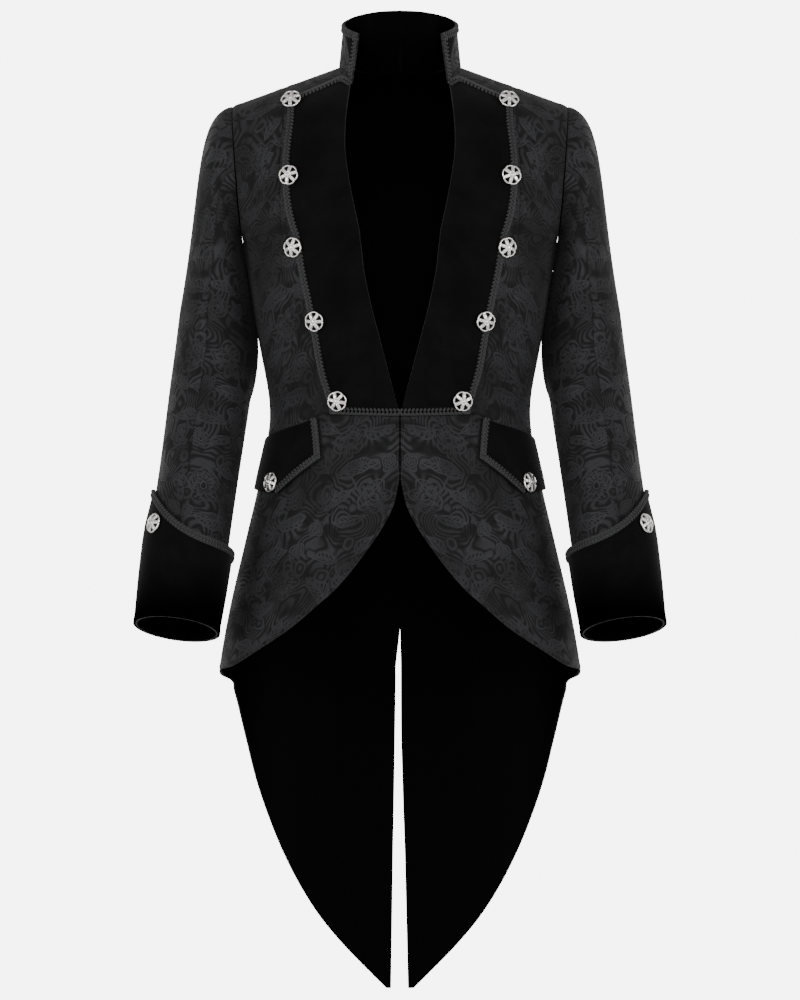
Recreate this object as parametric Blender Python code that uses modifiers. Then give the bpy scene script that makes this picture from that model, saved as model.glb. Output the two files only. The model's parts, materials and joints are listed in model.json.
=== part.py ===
"""A black military tailcoat in its worn shape, hollow, with no wearer in it.

Metres, +Z up. The front faces -Y and the wearer's left is +X. The origin lies
between the shoulders, level with the neck ends of the shoulder seams.

Every body panel is cut from one surface, body(u, q):
  u  0 at the centre line, 1 at the armhole or the side seam
  q  the length below the shoulder seam, minus on the front and plus on the back
A layer that lies on a panel is made from the panel's own points, moved out.
"""

import math

import bmesh
import bpy
import numpy as np
from mathutils import Vector

# ---------------------------------------------------------------- cloth sizes
CLOTH = 0.0020              # wall of the brocade and the velvet
LINING = 0.0012
BRAID = 0.0015
SEAM = 0.0003               # air left between two pieces that are sewn together
LIFT = 0.0003               # air under a layer that lies on another
BRAID_WIDTH = 0.0090
FLAP_LIFT = 0.0014          # air under a pocket flap along its top
FLAP_STAND = 0.0015         # how much further its lower edge stands off
BUTTON_RADIUS = 0.0125
HAIR = 1e-6                 # marks a wall whose points are its inner face
CENTRE_GAP = 0.0008         # half the space between the two fronts below the waist

# ------------------------------------------------------------- body landmarks
ARM_DEPTH = 0.168           # length from the shoulder tip down to the underarm
TIP_Z = -0.047              # shoulder tip
TIP_Y = 0.012
UNDERARM_Z = TIP_Z - ARM_DEPTH
ARM_FRONT = 0.062           # how far the armhole bows to the front and the back
ARM_BACK = 0.068
SHOULDER_TURN = 50          # degrees that half a section turns at the shoulder
SIDE_TURN = 90              # and from the underarm down
ROUND = 2 / 2.2             # exponent of the slightly squared sections
WAIST = 0.3705
NECK_X = 0.0765             # neck end of the shoulder seam
FRONT_NECK = 0.0224         # depth of the front edge's top corner
NAPE = 0.0240               # depth of the centre back neckline
LAPEL_TOP = 0.0275          # depth of the lapel's top edge at its outer end
LAPEL_RISE = 0.0095         # how much higher it lies beside the collar
LAPEL_BELOW_NECK = 0.0019
SIDE_HEM = 0.684
TAIL_END = 1.0856

# Half width of the coat. Columns: depth below the shoulder tip, x.
SIDE = ((0, .204), (.034, .2035), (.067, .2005), (.101, .1965), (.134, .193), (.168, .1895),
        (.228, .181), (.293, .170), (.373, .158), (.453, .170), (.533, .1885), (.613, .207),
        (.683, .219), (.813, .226), (.953, .230), (1.088, .232))

# Centre front and centre back lines. Columns: q, y, z.
MIDDLE = ((-.75, -.143, -.797), (-.683, -.140, -.730), (-.613, -.135, -.660),
          (-.533, -.127, -.583), (-.453, -.117, -.505), (-.373, -.112, -.4285),
          (-.293, -.121, -.344), (-.228, -.128, -.277), (-.168, -.130, -.217),
          (-.134, -.127, -.178), (-.101, -.118, -.135), (-.067, -.100, -.085),
          (-.034, -.070, -.031), (0, .010, .0272), (.034, .088, -.014), (.067, .108, -.070),
          (.101, .117, -.123), (.134, .120, -.172), (.168, .118, -.215), (.228, .110, -.275),
          (.293, .099, -.340), (.373, .090, -.420), (.453, .100, -.500), (.533, .116, -.580),
          (.613, .128, -.660), (.683, .134, -.730), (.813, .137, -.860), (.953, .134, -1.0),
          (1.088, .128, -1.135))

# Lines on the front. Columns: depth, x of the front edge, of the lapel's outer
# edge and of the princess seam.
FRONT_LINES = ((.0000, .0550, .1345, .1400), (.0275, .0592, .1350, .1402),
               (.0514, .0647, .1352, .1410), (.0756, .0657, .1392, .1442),
               (.1096, .0596, .1385, .1445), (.1498, .0500, .1294, .1430),
               (.1853, .0452, .1236, .1438), (.2193, .0405, .1166, .1402),
               (.2624, .0298, .1074, .1272), (.3190, .0143, .0974, .1052),
               (.3705, .0008, .0825, .0880), (.4308, .0008, .0800, .0842),
               (.5491, .0008, .0800, .0846), (.6900, .0008, .0800, .0850))

# Cutaway hem of the front. Columns: u, depth.
FRONT_HEM = ((0, .4444), (.006, .4629), (.014, .4752), (.029, .4874), (.043, .4995),
             (.087, .5240), (.140, .5487), (.195, .5736), (.268, .5983), (.349, .6227),
             (.482, .6469), (.652, .6716), (.780, .6820), (1, SIDE_HEM))

# Outer edge of a tail. Columns: depth, u.
TAIL_EDGE = ((SIDE_HEM, 1), (.7004, .765), (.7129, .729), (.7254, .698), (.7628, .638),
             (.8002, .589), (.8377, .537), (.8753, .477), (.9129, .417), (.9505, .351),
             (.9882, .278), (1.0258, .189), (1.0632, .092), (TAIL_END, .036))

# Inner edges of the tails, which part below the back seam. Columns: depth, x on
# the wearer's left, x on the right.
VENT = ((0, .0002, .0002), (.641, .0002, .0002), (.653, .0010, .0045), (.765, .0013, .0062),
        (.852, .0037, .0075), (.915, .0060, .0087), (1.0, .0080, .0099), (TAIL_END, .0100, .0112))

# Stand collar's top edge, from the front corner to the centre back. Columns:
# share of the way round, x, y, z.
COLLAR_TOP = ((0, .0505, -.0420, .0370), (.18, .0635, -.0200, .0440),
              (.36, .0690, .0060, .0520), (.55, .0645, .0340, .0605),
              (.74, .0475, .0560, .0692), (.88, .0245, .0655, .0740),
              (1, .0000, .0685, .0755))

COLLAR_CUTS = (.10, .14, .225)      # columns of the collar under its velvet patch

# Velvet patch and the narrow braid beside it on the collar's front. Columns: share
# of the collar's height, then shares of the way round: the patch's front and rear
# edges, and the braid's rear edge.
COLLAR_PATCH = ((.34, .060, .072, .098), (.50, .062, .110, .138), (.66, .065, .150, .180),
                (.86, .068, .205, .237))

# Sleeve from the upper arm to the wrist. Columns: z, x, y of the ring's centre,
# its width, its depth, how much its outer side and its front are raised (degrees).
SLEEVE = ((-.2957, .2232, .0200, .0905, .1450, 0, 0), (-.3444, .2240, .0130, .1000, .1370, 3, 2),
          (-.3931, .2303, .0020, .0993, .1310, 5, 5), (-.4417, .2365, -.0110, .0978, .1250, 7, 9),
          (-.4903, .2428, -.0260, .0964, .1190, 7, 13), (-.5386, .2493, -.0420, .0962, .1130, 7, 15),
          (-.5866, .2557, -.0580, .0966, .1080, 7, 16), (-.6344, .2621, -.0730, .0978, .1050, 7, 17),
          (-.6810, .2678, -.0870, .0992, .1030, 7, 17))
SLEEVE_TWIST = math.radians(11)     # turns the front seam to the outer side
FIRST_RING = 0.12           # length of the sleeve's first ring of cells, as a share
CUFF_TOP = 0.1000           # height of the cuff at its inner side, above the wrist
CUFF_PEAK = 0.0620          # how much higher its outer side reaches
CUFF_FLARE = 0.0045         # how far it stands off the sleeve at most

# Share of that distance at heights above the wrist; the peak lies on the sleeve again.
CUFF_STAND = ((0, 0), (.100, 1), (.118, 1), (.164, .15))

# Pocket flap. Columns: share of the way from its front edge to its back edge,
# depth of its upper edge and of its lower edge.
FLAP = ((0, .3765, .4250), (.16, .3850, .4478), (.325, .3920, .4712), (.5, .3985, .4700),
        (.75, .4060, .4670), (1, .4110, .4640))
FLAP_POINT = .325           # share at the flap's point, where its braid ends
FLAP_FRONT = (.404, .360)   # u of its front edge, at the top and the bottom
FLAP_BACK = 1.13            # past the side seam, in the same measure

# Buttons on the lapel. Columns: x, depth.
LAPEL_BUTTONS = ((.1289, .0329), (.1313, .0948), (.1255, .1763), (.1003, .2638), (.0735, .3549))
FLAP_BUTTON = (.675, .4580)                 # u, depth
CUFF_BUTTON = (math.radians(54), 0.112)     # angle round the sleeve, height above the wrist

# -------------------------------------------------------- where the cuts lie
ARM_ROWS_FRONT = (0, .014, LAPEL_TOP, .0345, .0505, .067, .083, .104, .125, .1465, ARM_DEPTH)
ARM_ROWS_BACK = (0, .021, .042, .063, .084, .105, .126, .147, ARM_DEPTH)
CHEST_ROWS = (.207, .246, .285, .324, WAIST - BRAID_WIDTH, WAIST)
SKIRT_PARTS = 7
TAIL_ROWS = (.7004, .7129, .735, .775, .820, .865, .910, .955, .995, 1.030, 1.062, TAIL_END)
FRONT_SEAM = math.pi * .083 / ARM_DEPTH     # sleeve seams, as angles round the armhole
BACK_SEAM = -math.pi * .105 / ARM_DEPTH

LOOKS = {                   # colour, roughness, metallic
    "brocade": ((.015, .015, .016), .72, 0),
    "velvet": ((.006, .006, .0065), .88, 0),
    "braid": ((.011, .011, .012), .60, 0),
    "lining": ((.004, .004, .0045), .55, 0),
    "silver": ((.56, .55, .53), .32, 1),
}


class Curve:
    """A smooth curve through the rows of a table, read by its first column."""

    def __init__(self, rows):
        table = np.array(rows, float)
        self.keys = table[:, 0]
        self.values = table[:, 1:]
        self.slopes = np.gradient(self.values, self.keys, axis=0)

    def __call__(self, key):
        i = int(np.clip(np.searchsorted(self.keys, key) - 1, 0, len(self.keys) - 2))
        step = self.keys[i + 1] - self.keys[i]
        t = (min(max(key, self.keys[0]), self.keys[-1]) - self.keys[i]) / step
        t2, t3 = t * t, t * t * t
        return ((2 * t3 - 3 * t2 + 1) * self.values[i] + (t3 - 2 * t2 + t) * step * self.slopes[i]
                + (3 * t2 - 2 * t3) * self.values[i + 1] + (t3 - t2) * step * self.slopes[i + 1])


side_x = Curve(SIDE)
middle = Curve(MIDDLE)
front_lines = Curve(FRONT_LINES)
collar_top = Curve(COLLAR_TOP)
sleeve_ring = Curve([(i, *row) for i, row in enumerate(SLEEVE)])
WRIST = len(SLEEVE) - 1
RING_STEP = (SLEEVE[0][0] - SLEEVE[-1][0]) / WRIST


def between(rows, key, column=1):
    """Straight interpolation in one column of a table."""
    return float(np.interp(key, [row[0] for row in rows], [row[column] for row in rows]))


def unit(vector):
    return vector / max(np.linalg.norm(vector), 1e-12)


# ---------------------------------------------------------------- the surface
def turn_at(depth):
    share = min(depth / ARM_DEPTH, 1)
    return math.radians(SHOULDER_TURN + (SIDE_TURN - SHOULDER_TURN) * share * share)


def edge(q):
    """The armhole above the underarm, and the side line below it."""
    depth = abs(q)
    x = side_x(depth)[0]
    if depth >= ARM_DEPTH:
        return np.array((x, 0, TIP_Z - depth))
    angle = math.pi * depth / ARM_DEPTH
    bow = -ARM_FRONT if q < 0 else ARM_BACK
    y = TIP_Y * (1 - depth / ARM_DEPTH) + bow * math.sin(angle)
    z = (TIP_Z + UNDERARM_Z + (TIP_Z - UNDERARM_Z) * math.cos(angle)) / 2
    return np.array((x, y, z))


def body(u, q):
    """A point of the coat's outer face."""
    side = edge(q)
    mid_y, mid_z = middle(q)
    turn = turn_at(abs(q))
    across = abs(math.sin(turn * u)) ** ROUND / math.sin(turn) ** ROUND
    rim = max(math.cos(turn), 0) ** ROUND
    along = (max(math.cos(turn * u), 0) ** ROUND - rim) / (1 - rim)
    share = min(abs(q) / ARM_DEPTH, 1)
    return np.array((math.copysign(side[0] * across, u),
                     side[1] + (mid_y - side[1]) * along,
                     mid_z + (side[2] - mid_z) * across ** (1 + share * share)))


def u_at(depth, x):
    """The u of a point of the body that lies x from the centre."""
    turn = turn_at(depth)
    across = min(x / side_x(depth)[0], 1)
    return math.asin(min((across * math.sin(turn) ** ROUND) ** (1 / ROUND), 1)) / turn


def body_normal(u, q, step=1e-3):
    outer = min(u + step, 1)
    along_u = body(outer, q) - body(outer - 2 * step, q)
    along_q = body(u, q + step) - body(u, q - step)
    return unit(np.cross(along_u, along_q))


def grid(cells):
    """Points and normals of a table of (u, q) places."""
    points = np.array([[body(u, q) for u, q in row] for row in cells])
    normals = np.array([[body_normal(u, q) for u, q in row] for row in cells])
    return points, normals


# --------------------------------------------------------------- making cloth
def new_object(name, mesh, look):
    colour, roughness, metallic = LOOKS[look]
    material = bpy.data.materials.new(name)
    material.use_nodes = True
    shader = material.node_tree.nodes["Principled BSDF"]
    shader.inputs["Base Color"].default_value = (*colour, 1)
    shader.inputs["Roughness"].default_value = roughness
    shader.inputs["Metallic"].default_value = metallic
    mesh.materials.clear()
    mesh.materials.append(material)
    obj = bpy.data.objects.new(name, mesh)
    bpy.data.collections["tailcoat"].objects.link(obj)
    return obj


def pull_in(points, top=0, bottom=0, left=0, right=0):
    """Draws the edges of a grid of points back from the seams."""
    moved = points.copy()
    for index, inner, amount in ((0, 1, top), (-1, -2, bottom)):
        for column in range(points.shape[1]):
            way = unit(points[inner, column] - points[index, column])
            moved[index, column] += way * amount
    for index, inner, amount in ((0, 1, left), (-1, -2, right)):
        for row in range(points.shape[0]):
            way = unit(points[row, inner] - points[row, index])
            moved[row, index] += way * amount
    return moved


def cloth(name, points, normals, wall, look, raise_by=0, side=1, closed=False, keep=None):
    """A wall whose outer face runs through the points, raised by so much.

    closed joins the last column to the first; keep picks the cells to build.
    """
    inner = points + normals * (raise_by if np.isscalar(raise_by) else raise_by[..., None])
    if np.isscalar(raise_by) and raise_by == 0:
        inner = points - normals * wall
    mirror = np.array((side, 1, 1))
    bm = bmesh.new()
    rows, columns = points.shape[:2]
    verts = [[bm.verts.new(p * mirror) for p in row] for row in inner]
    for i in range(rows - 1):
        for j in range(columns if closed else columns - 1):
            if keep is not None and not keep[i][j]:
                continue
            k = (j + 1) % columns
            bm.faces.new((verts[i][j], verts[i][k], verts[i + 1][k], verts[i + 1][j]))
    loose = [v for v in bm.verts if not v.link_faces]
    bmesh.ops.delete(bm, geom=loose, context="VERTS")
    bm.normal_update()
    facing = sum(np.dot(normals[i, j] * mirror, verts[i][j].normal)
                 for i in range(rows) for j in range(columns) if verts[i][j].is_valid)
    if facing < 0:
        bmesh.ops.reverse_faces(bm, faces=bm.faces)
    mesh = bpy.data.meshes.new(name)
    bm.to_mesh(mesh)
    bm.free()
    mesh.shade_smooth()
    obj = new_object(name, mesh, look)
    solidify = obj.modifiers.new("wall", "SOLIDIFY")
    solidify.thickness = wall
    solidify.offset = 1
    return obj


def both(name):
    """The two sides of the coat: a name and the sign of x."""
    return ((name + "_left", 1), (name + "_right", -1))


# ---------------------------------------------------------------- body panels
FRONT_NECK_U = u_at(FRONT_NECK, front_lines(FRONT_NECK)[0])
NECK_U = u_at(0, NECK_X)
LAPEL_EDGE_U = u_at(LAPEL_TOP, front_lines(LAPEL_TOP)[1])


def front_columns(depth):
    """u of the front panel's columns: front edge, lapel, princess seam."""
    edge_x, lapel_x, princess_x = front_lines(depth)
    first = u_at(depth, edge_x)
    last = u_at(depth, lapel_x - BRAID_WIDTH)
    neck = (NECK_U - FRONT_NECK_U) / (u_at(0, LAPEL_EDGE_TOP - BRAID_WIDTH) - FRONT_NECK_U)
    shares = (0, neck / 2, neck, .50, .75, 1)
    columns = [first + (last - first) * share for share in shares]
    return columns + [u_at(depth, lapel_x), u_at(depth, princess_x)]


LAPEL_EDGE_TOP = FRONT_LINES[0][2]
LAPEL_COLUMN = 6            # index of the lapel's outer edge among the columns


def lapel_top(u, neck):
    """Depth of the lapel's top edge, which rises beside the shoulder to the collar."""
    share = min(max((LAPEL_EDGE_U - u) / (LAPEL_EDGE_U - NECK_U), 0), 1)
    return max(LAPEL_TOP - LAPEL_RISE * share, neck + LAPEL_BELOW_NECK)


def front_cells():
    cells = []
    for level in ARM_ROWS_FRONT + CHEST_ROWS:
        row = []
        for u in front_columns(max(level, FRONT_NECK)):
            neck = max(FRONT_NECK * (NECK_U - u) / (NECK_U - FRONT_NECK_U), 0)
            top = lapel_top(u, neck)
            depth = level
            if level < LAPEL_TOP:
                depth = neck + level * (top - neck) / LAPEL_TOP
            elif level < LAPEL_TOP + BRAID_WIDTH:
                depth = level - LAPEL_TOP + top
            row.append((u, -depth))
        row[-1] = (u_at(level, front_lines(level)[2]), -level)
        cells.append(row)
    return cells


def princess_u(depth):
    return u_at(depth, front_lines(depth)[2])


def skirt_hem(share, first, last):
    """Depth of the cutaway hem on a column between two lines of u."""
    depth = SIDE_HEM
    for _ in range(20):
        u = first(depth) + (last(depth) - first(depth)) * share
        depth = (depth + between(FRONT_HEM, u)) / 2
    return depth


def skirt_cells(shares, first, last):
    """Rows from the waist to the cutaway hem."""
    hems = [skirt_hem(share, first, last) for share in shares]
    cells = []
    for part in range(SKIRT_PARTS + 1):
        row = []
        for share, hem in zip(shares, hems):
            depth = WAIST + (hem - WAIST) * part / SKIRT_PARTS
            row.append((first(depth) + (last(depth) - first(depth)) * share, -depth))
        cells.append(row)
    return cells


def front_edge_u(depth):
    return u_at(depth, CENTRE_GAP)


def side_line_u(depth):
    return 1


SIDE_SHARES = (0, .22, .43, .63, .82, 1)
SKIRT_SHARES = (0, .05, .13, .25, .42, .62, .82, 1)


def side_cells():
    upper = []
    for level in ARM_ROWS_FRONT + CHEST_ROWS:
        first = princess_u(level)
        upper.append([(first + (1 - first) * share, -level) for share in SIDE_SHARES])
    return upper + skirt_cells(SIDE_SHARES, princess_u, side_line_u)[1:]


BACK_NECK_SHARES = (0, .5, 1)
BACK_SHARES = (.28, .53, .77, 1)


def back_levels():
    skirt = [WAIST + (SIDE_HEM - WAIST) * part / SKIRT_PARTS for part in range(1, SKIRT_PARTS + 1)]
    return list(ARM_ROWS_BACK + CHEST_ROWS) + skirt + list(TAIL_ROWS)


def back_cells(side=1):
    vent_column = 1 if side > 0 else 2
    shares = [NECK_U * share for share in BACK_NECK_SHARES]
    shares += [NECK_U + (1 - NECK_U) * share for share in BACK_SHARES]
    cells = []
    for level in back_levels():
        row = []
        outer = between(TAIL_EDGE, level)
        for share in shares:
            neck = NAPE * max(1 - (share / NECK_U) ** 2, 0)
            depth = level
            if level < ARM_DEPTH:
                depth = neck + level * (1 - neck / ARM_DEPTH)
            inner = u_at(depth, between(VENT, depth, vent_column))
            row.append((inner + (outer - inner) * share, depth))
        cells.append(row)
    return cells


def make_fronts():
    """Front panels, with the velvet lapels and their braid on top."""
    points, normals = grid(front_cells())
    panel = pull_in(points, top=SEAM, bottom=SEAM / 2, right=SEAM / 2)
    first = ARM_ROWS_FRONT.index(LAPEL_TOP)
    on_top = slice(first, None), slice(0, LAPEL_COLUMN + 1)
    rows = points[on_top].shape[0] - 1
    border = [[i in (0, rows - 1) or j == LAPEL_COLUMN - 1 for j in range(LAPEL_COLUMN)]
              for i in range(rows)]
    lapel = pull_in(points[on_top], bottom=SEAM / 2)
    for (name, side), (lapel_name, _), (braid_name, _) in zip(
            both("front"), both("lapel"), both("lapel_braid")):
        cloth(name, panel, normals, CLOTH, "brocade", side=side)
        cloth(lapel_name, lapel, normals[on_top], CLOTH, "velvet", LIFT, side)
        cloth(braid_name, lapel, normals[on_top], BRAID, "braid", CLOTH + 2 * LIFT, side,
              keep=border)


def make_skirts():
    points, normals = grid(skirt_cells(SKIRT_SHARES, front_edge_u, princess_u))
    points = pull_in(points, top=SEAM / 2, right=SEAM / 2)
    for name, side in both("skirt"):
        cloth(name, points, normals, CLOTH, "brocade", side=side)


def make_sides():
    points, normals = grid(side_cells())
    points = pull_in(points, top=SEAM / 2, left=SEAM / 2, right=SEAM / 2)
    for name, side in both("side"):
        cloth(name, points, normals, CLOTH, "brocade", side=side)


def make_backs():
    """Back panels with their tails, and the lining that shows inside them."""
    for (name, side), (lining_name, _) in zip(both("back"), both("lining")):
        points, normals = grid(back_cells(side))
        panel = pull_in(points, top=SEAM, left=SEAM / 2, right=SEAM / 2)
        cloth(name, panel, normals, CLOTH, "brocade", side=side)
        lining = pull_in(points, top=2 * CLOTH, bottom=CLOTH, left=SEAM / 2, right=2 * SEAM)
        lining = lining - normals * (CLOTH + 2 * LIFT)
        cloth(lining_name, lining, normals, LINING, "lining", side=side)


# -------------------------------------------------------------------- sleeves
def ring_point(angle, place):
    """A point of the sleeve below the upper arm. Angle 0 is its outer side."""
    z, x, y, width, depth, roll, pitch = sleeve_ring(place)
    angle = angle - SLEEVE_TWIST
    roll, pitch = math.radians(roll), math.radians(pitch)
    outward = np.array((math.cos(roll), 0, math.sin(roll)))
    forward = np.array((0, -math.cos(pitch), math.sin(pitch)))
    return (np.array((x, y, z)) + outward * width / 2 * math.cos(angle)
            + forward * depth / 2 * math.sin(angle))


def armhole(angle):
    wrapped = (angle + math.pi) % (2 * math.pi) - math.pi
    return edge(-wrapped / math.pi * ARM_DEPTH)


def sleeve_point(angle, place):
    """Places run from -1 at the armhole over 0 at the upper arm to the wrist."""
    if place >= 0:
        return ring_point(angle, place)
    t = place + 1
    top = (1 + math.cos(angle)) / 2         # 1 on the shoulder, 0 under the arm
    start = armhole(angle)
    end = ring_point(angle, 0)
    first = start + np.array((.010 + .0370 * top, -.006 * math.sin(angle), -.001 - .010 * top))
    second = end + np.array((.002 - .0305 * top, 0, .040 + .120 * top))
    return ((1 - t) ** 3 * start + 3 * t * (1 - t) ** 2 * first
            + 3 * t * t * (1 - t) * second + t ** 3 * end)


def sleeve_normal(angle, place, step=1e-3):
    ahead = FIRST_RING if place == -1 else step     # square to the first ring of cells
    along = sleeve_point(angle, place + ahead) - sleeve_point(angle, max(place - step, -1))
    around = sleeve_point(angle + step, place) - sleeve_point(angle - step, place)
    return unit(np.cross(around, along))


def sleeve_grid(angles, places):
    points = np.array([[sleeve_point(a, p) for a in angles] for p in places])
    normals = np.array([[sleeve_normal(a, p) for a in angles] for p in places])
    return points, normals


def arm_angles():
    """Angles of the armhole's cuts, once round from the back seam."""
    front = [math.pi * level / ARM_DEPTH for level in ARM_ROWS_FRONT]
    back = [-math.pi * level / ARM_DEPTH for level in ARM_ROWS_BACK[1:]]
    angles = sorted(front + back[:-1])
    first = min(range(len(angles)), key=lambda i: abs(angles[i] - BACK_SEAM))
    return angles[first:] + [a + 2 * math.pi for a in angles[:first + 1]]


def make_sleeves():
    angles = arm_angles()
    split = min(range(len(angles)), key=lambda i: abs(angles[i] - FRONT_SEAM))
    places = [-1, FIRST_RING - 1, -.72, -.5, -.25] + list(range(WRIST + 1))
    for piece, part in (("sleeve_outer", angles[:split + 1]), ("sleeve_inner", angles[split:])):
        points, normals = sleeve_grid(part, places)
        points = pull_in(points, top=2 * SEAM, left=SEAM / 2, right=SEAM / 2)
        for name, side in both(piece):
            cloth(name, points, normals, CLOTH, "brocade", side=side)


def cuff_top(angle):
    """Height of the turned-back cuff's upper edge above the wrist."""
    return CUFF_TOP + CUFF_PEAK * ((1 + math.cos(angle - SLEEVE_TWIST)) / 2) ** 3


def cuff_point(angle, height):
    """A point of the cuff's inner face, and its normal."""
    place = WRIST - height / RING_STEP
    normal = sleeve_normal(angle, place)
    stand = LIFT + CUFF_FLARE * between(CUFF_STAND, max(height, 0))
    return sleeve_point(angle, place) + normal * stand, normal


def make_cuffs():
    angles = arm_angles()[:-1]
    places = []
    for share in (0, .35, .7, None, 1):
        row = []
        for angle in angles:
            top = cuff_top(angle)
            height = top - BRAID_WIDTH if share is None else share * (top - BRAID_WIDTH)
            row.append(cuff_point(angle, top if share == 1 else height))
        places.append(row)
    points = np.array([[point for point, _ in row] for row in places])
    normals = np.array([[normal for _, normal in row] for row in places])
    for (name, side), (braid_name, _) in zip(both("cuff"), both("cuff_braid")):
        cloth(name, points, normals, CLOTH, "velvet", HAIR, side, closed=True)
        cloth(braid_name, points[-2:], normals[-2:], BRAID, "braid", CLOTH + LIFT, side,
              closed=True)


# --------------------------------------------------------------------- collar
def neckline():
    """Half the collar's base, from the front corner to the nape."""
    front = front_cells()[0][:2]
    back = back_cells()[0][len(BACK_NECK_SHARES) - 1:0:-1]
    corners = [body(u, q) for u, q in front + back + [(0, back_cells()[0][0][1])]]
    points = corners[:2]
    for a, b in zip(corners[2:-1], corners[3:]):
        points += [a, (a + b) / 2]
    return points + [corners[-1]]


def collar_base():
    """The neckline's points, and how far round each one lies, from 0 to 1."""
    base = neckline()
    lengths = [0]
    for a, b in zip(base[:-1], base[1:]):
        lengths.append(lengths[-1] + np.linalg.norm(b - a))
    return np.array(base), [length / lengths[-1] for length in lengths], lengths[-1]


def collar_grid(cells, base, base_shares):
    """Points and normals of a table of places (share round, share of height)."""

    def point(share, height):
        foot = np.array([np.interp(share, base_shares, base[:, axis]) for axis in range(3)])
        foot = foot + np.array((0, 0, SEAM))
        return foot + (collar_top(share) - foot) * height

    def normal(share, height, step=.01):
        ahead, behind = min(share + step, 1), max(share - step, 0)
        return unit(np.cross(point(ahead, height) - point(behind, height),
                             point(share, 1) - point(share, 0)))

    points = np.array([[point(*place) for place in row] for row in cells])
    normals = np.array([[normal(*place) for place in row] for row in cells])
    return points, normals


def make_collar():
    """Stand collar with its braid, and on each front a velvet patch and its edging."""
    base, base_shares, length = collar_base()
    edge_share = BRAID_WIDTH / length
    shares = sorted({0, edge_share, *COLLAR_CUTS, *base_shares})
    cells = [[(share, height) for share in shares] for height in (0, .33, .66, .88, 1)]
    points, normals = collar_grid(cells, base, base_shares)
    normals[:, -1, 0] = 0
    flip = np.array((-1, 1, 1))
    points = np.concatenate((points, points[:, -2::-1] * flip), axis=1)
    normals = np.concatenate((normals, normals[:, -2::-1] * flip), axis=1)
    rows, columns = points.shape[0] - 1, points.shape[1] - 1
    border = [[i == rows - 1 or j in (0, columns - 1) for j in range(columns)]
              for i in range(rows)]
    cloth("collar", points, normals, CLOTH, "brocade")
    cloth("collar_braid", points, normals, BRAID, "braid", LIFT, keep=border)
    patch = [[(front, height), ((front + rear) / 2, height), (rear, height)]
             for height, front, rear, _ in COLLAR_PATCH]
    trim = [[(rear, height), (outer, height)] for height, _, rear, outer in COLLAR_PATCH]
    for piece, places, wall, look, gap in (("collar_patch", patch, CLOTH / 2, "velvet", SEAM / 2),
                                           ("collar_trim", trim, BRAID, "braid", 0)):
        points, normals = collar_grid(places, base, base_shares)
        points = pull_in(points, left=SEAM, right=gap)
        for name, side in both(piece):
            cloth(name, points, normals, wall, look, 2 * LIFT, side)


# --------------------------------------------------------------- pocket flaps
def around_body(v, depth):
    """(u, q) of a place past the side seam when v is over 1."""
    return (v, -depth) if v <= 1 else (2 - v, depth)


def make_flaps():
    upper = [(row[0], row[1]) for row in FLAP]
    lower = [(row[0], row[2]) for row in FLAP]
    columns = (0, .075, .16, .24, .325, .42, .53, .65, .77, .89, 1)
    border_share = .80
    cells = []
    for part in (0, .3, .6, border_share, 1):
        row = []
        for share in columns:
            first = FLAP_FRONT[0] + (FLAP_FRONT[1] - FLAP_FRONT[0]) * part
            v = first + (FLAP_BACK - first) * share
            depth = between(upper, share) * (1 - part) + between(lower, share) * part
            row.append(around_body(v, depth))
        cells.append(row)
    points, normals = grid(cells)
    parts = np.linspace(0, 1, len(cells))[:, None] * np.ones(len(columns))
    stand = FLAP_LIFT + FLAP_STAND * parts
    rows, last = len(cells) - 1, len(columns) - 1
    border = [[j == 0 or (i == rows - 1 and columns[j] < FLAP_POINT) for j in range(last)]
              for i in range(rows)]
    for (name, side), (braid_name, _) in zip(both("flap"), both("flap_braid")):
        cloth(name, points, normals, CLOTH, "velvet", stand, side)
        cloth(braid_name, points, normals, BRAID, "braid", stand + CLOTH + LIFT, side,
              keep=border)


# -------------------------------------------------------------------- buttons
def button_mesh():
    """Half section of a domed button, from the top of the axis to its base."""
    profile = ((0, .0060), (.0070, .0050), (.0112, .0024), (BUTTON_RADIUS, .0008),
               (.0115, 0), (0, 0))
    mesh = bpy.data.meshes.new("button")
    verts = [(radius, 0, height) for radius, height in profile]
    edges = [(i, i + 1) for i in range(len(verts) - 1)]
    mesh.from_pydata(verts, edges, [])
    return mesh


def place_button(name, point, normal, side):
    obj = new_object(name, button_mesh(), "silver")
    screw = obj.modifiers.new("turn", "SCREW")
    screw.steps = 12
    screw.render_steps = 12
    screw.use_merge_vertices = True
    screw.merge_threshold = 1e-5
    screw.use_smooth_shade = True
    way = Vector((normal[0] * side, normal[1], normal[2]))
    obj.rotation_euler = way.to_track_quat("Z", "Y").to_euler()
    obj.location = (point[0] * side, point[1], point[2])


def make_buttons():
    on_braid = CLOTH + BRAID + 3 * LIFT
    for number, (x, depth) in enumerate(LAPEL_BUTTONS, 1):
        u = u_at(depth, x)
        point, normal = body(u, -depth), body_normal(u, -depth)
        for name, side in both(f"button_{number}"):
            place_button(name, point + normal * (on_braid + LIFT), normal, side)
    u, depth = FLAP_BUTTON
    point, normal = body(u, -depth), body_normal(u, -depth)
    on_flap = FLAP_LIFT + FLAP_STAND + CLOTH + 2 * LIFT
    for name, side in both("button_flap"):
        place_button(name, point + normal * on_flap, normal, side)
    point, normal = cuff_point(*CUFF_BUTTON)
    for name, side in both("button_cuff"):
        place_button(name, point + normal * (CLOTH + 3 * LIFT), normal, side)


def main():
    for obj in list(bpy.data.objects):
        bpy.data.objects.remove(obj, do_unlink=True)
    collection = bpy.data.collections.new("tailcoat")
    bpy.context.scene.collection.children.link(collection)
    make_fronts()
    make_skirts()
    make_sides()
    make_backs()
    make_sleeves()
    make_cuffs()
    make_collar()
    make_flaps()
    make_buttons()


main()
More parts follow.
